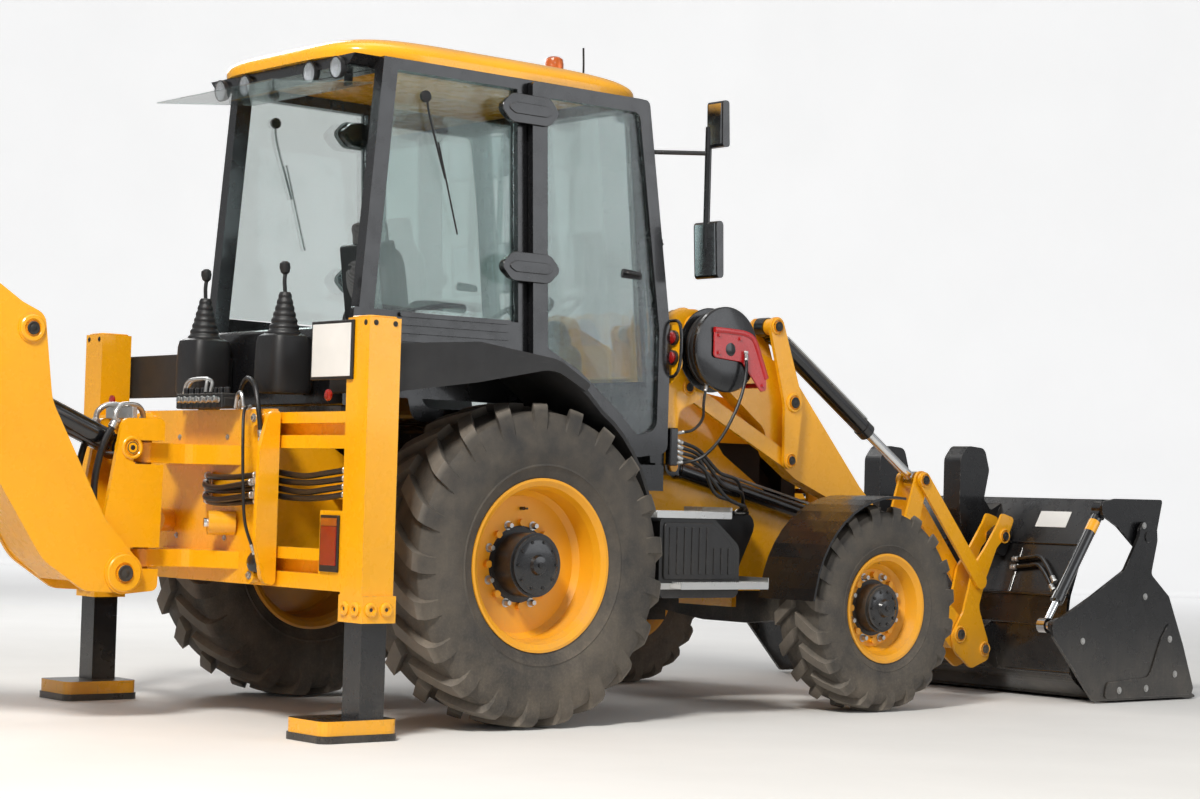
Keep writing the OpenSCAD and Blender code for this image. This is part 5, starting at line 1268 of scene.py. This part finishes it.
def clam_trim():
    """A blank label on the bucket's back, yellow bands on the clam rams, and the clam's wear plates and
    bolts."""
    # the label lies on the back's top slope
    slope = np.array([-275, 0, 170]) / np.hypot(275, 170)
    label = copies(slab((-105, -50, 0.5), (105, 50, 2.5), 1), [(3799, -770, 960)], slope)
    piece("blank_label", label, "shovel", white_plate)
    base, end = np.array([3800, 1020.0]), np.array([3360, 410.0])
    d = (end - base) / np.linalg.norm(end - base)
    marks = [turned([[30.2, 0], [31.4, 1], [31.4, 69], [30.2, 70]],
                    (base[0] + d[0] * 80, y, base[1] + d[1] * 80), (d[0], 0, d[1]), 28)
             for y in (-1085, 1085)]
    piece("clam_ram_marks", marks, "clam_barrel", yellow_paint)
    wear = rounded([[3740, 24, 20], [4485, 24, 10], [4392, 300, 40], [4300, 440, 40], [4215, 330, 60],
                    [4120, 130, 60], [3760, 110, 30]])
    # x and z of the bolts in the wear plates, and of those in the clam's sides
    plate_bolts = ((4290, 330), (4340, 140), (4090, 70), (3860, 66))
    side_bolts = ((4080, 560), (3560, 330), (4060, 940))
    plates, heads = [], []
    for s in (-1, 1):
        plates.append(panel(wear, s * 1179 - 5, s * 1179 + 5, ease=3))
        heads += [copies(bolt(13, 9), [(x, s * 1184, z) for x, z in plate_bolts], (0, s, 0)),
                  copies(bolt(12, 9), [(x, s * 1175, z) for x, z in side_bolts], (0, s, 0))]
    piece("clam_wear_plates", plates, "clam", bucket_black)
    piece("clam_bolts", heads, "clam", bare_steel)


bucket_bars()
bucket_piping()
clam_trim()


def nose_and_mirrors():
    """Headlights at the bonnet's nose, and the glass of the mirrors."""
    shells, lenses = [], []
    for s in (-1, 1):
        for z0, z1 in ((1062, 1122), (1134, 1196)):
            y = sorted((s * 268, s * 326))
            shells.append(slab((2450, y[0] - 3, z0 - 3), (2489, y[1] + 3, z1 + 3), 5))
            lenses.append(slab((2488, y[0], z0), (2494, y[1], z1), 3))
    piece("headlight_shells", shells, "bonnet_body", black_plastic)
    piece("headlight_lenses", lenses, "bonnet_body", clear_glass)
    faces = []
    # rows: lower and upper height, x at each, inner and outer y
    for z0, z1, x0, x1, y0, y1 in ((2074, 2316, 1164, 1151, 730, 870), (2694, 2886, 1160, 1155, 800, 890)):
        for s in (-1, 1):
            plate = [[x0 - 4, z0], [x1 - 4, z1], [x1 + 2, z1], [x0 + 2, z0]]
            faces.append(panel(plate, *sorted((s * y0, s * y1)), ease=1))
    piece("mirror_glass", faces, "machine", rod_chrome)


nose_and_mirrors()


# Stage: pale floor, pale backdrop and soft light


FLOOR_HALF, FLOOR_FLAT, SWEEP, WALL_TOP = 60.0, 18, 6, 40


def stage_floor():
    """A floor whose far edge sweeps up: flat up to a distance, then a quarter turn, then a wall."""
    t = np.linspace(0, np.pi / 2, 12)
    far = FLOOR_FLAT + SWEEP
    rows = np.vstack([[[-FLOOR_HALF, 0]], [[FLOOR_FLAT, 0]],
                      np.column_stack([FLOOR_FLAT + SWEEP * np.sin(t), SWEEP - SWEEP * np.cos(t)]),
                      [[far, WALL_TOP]]])
    across = np.array([-FLOOR_HALF, FLOOR_HALF])
    grid = np.stack([np.repeat(rows[:, :1], 2, 1) * np.sin(YAW) + across * np.cos(YAW),
                     np.repeat(rows[:, :1], 2, 1) * np.cos(YAW) - across * np.sin(YAW),
                     np.repeat(rows[:, 1:], 2, 1)], axis=-1)
    points, faces = skin(grid, closed_u=False)
    mesh = bpy.data.meshes.new("floor")
    mesh.from_pydata((points - [0, 0, 0.0005]).tolist(), [], [tuple(reversed(f)) for f in faces])
    mesh.shade_smooth()
    material, tree, shader = blank("floor_pale", Roughness=0.85)
    place = object_place(tree)
    clouds = ramp(tree, noise(tree, place, 0.8, 4.0), 0.3, 0.7)
    feed(tree, shader.inputs["Base Color"], blend(tree, clouds, (0.74, 0.73, 0.71, 1), (0.79, 0.78, 0.76, 1)))
    # what the camera sees grows paler with the distance, from near to distant metres, and gives the
    # object no light
    near, distant, palest = 3.0, 17.0, 0.6
    parts = put(tree, "SeparateXYZ", None, Vector=place).outputs
    deep = plus(tree, times(tree, parts["X"], float(np.sin(YAW))),
                times(tree, parts["Y"], float(np.cos(YAW))))
    pale = ramp(tree, deep, near, distant, 0.0, palest)
    pale = times(tree, pale, put(tree, "LightPath").outputs["Is Camera Ray"])
    shader.inputs["Emission Color"].default_value = (0.97, 0.98, 1.0, 1)
    feed(tree, shader.inputs["Emission Strength"], pale)
    mesh.materials.append(material)
    floor = bpy.data.objects.new("floor", mesh)
    bpy.context.scene.collection.objects.link(floor)


def light(name, place, aim, size, watts, colour=(1, 1, 1)):
    """A square soft light that looks at a point."""
    data = bpy.data.lights.new(name, "AREA")
    data.size = size
    data.energy = watts
    data.color = colour
    thing = bpy.data.objects.new(name, data)
    bpy.context.scene.collection.objects.link(thing)
    back = np.array(place, float) - np.array(aim, float)
    spot = Matrix(axes_of(back).tolist()).to_4x4()
    spot.translation = place
    thing.matrix_world = spot


def sky():
    """Even pale light all round, and a near-white background where the camera, glass and metal see it."""
    world = bpy.data.worlds.new("sky")
    bpy.context.scene.world = world
    world.use_nodes = True
    tree = world.node_tree
    tree.nodes.clear()
    path = put(tree, "LightPath")
    seen = calc(tree, "MAXIMUM", path.outputs["Is Camera Ray"], path.outputs["Is Transmission Ray"])
    mirrored = times(tree, path.outputs["Is Glossy Ray"], 0.16)
    strength = plus(tree, ramp(tree, seen, 0.0, 1.0, 0.34, 0.9), mirrored)
    back = put(tree, "Background", None, Color=(0.95, 0.97, 1.0, 1), Strength=strength)
    out = put(tree, "OutputWorld")
    feed(tree, out.inputs["Surface"], back.outputs[0])


stage_floor()
sky()
light("key", (-7.5, -5.5, 9.5), (0.0, -0.4, 1.0), 2.2, 1500, (1.0, 0.97, 0.92))
light("fill", (6.5, -9.0, 4.0), (0.5, 0.0, 1.2), 5.0, 150, (0.93, 0.96, 1.0))
light("rim", (2.0, 8.5, 6.5), (0.0, 0.0, 1.4), 4.0, 300)
light("top", (0.0, 0.0, 10.0), (0.0, 0.0, 0.0), 5.0, 120)
bpy.context.scene.view_settings.view_transform = "Standard"
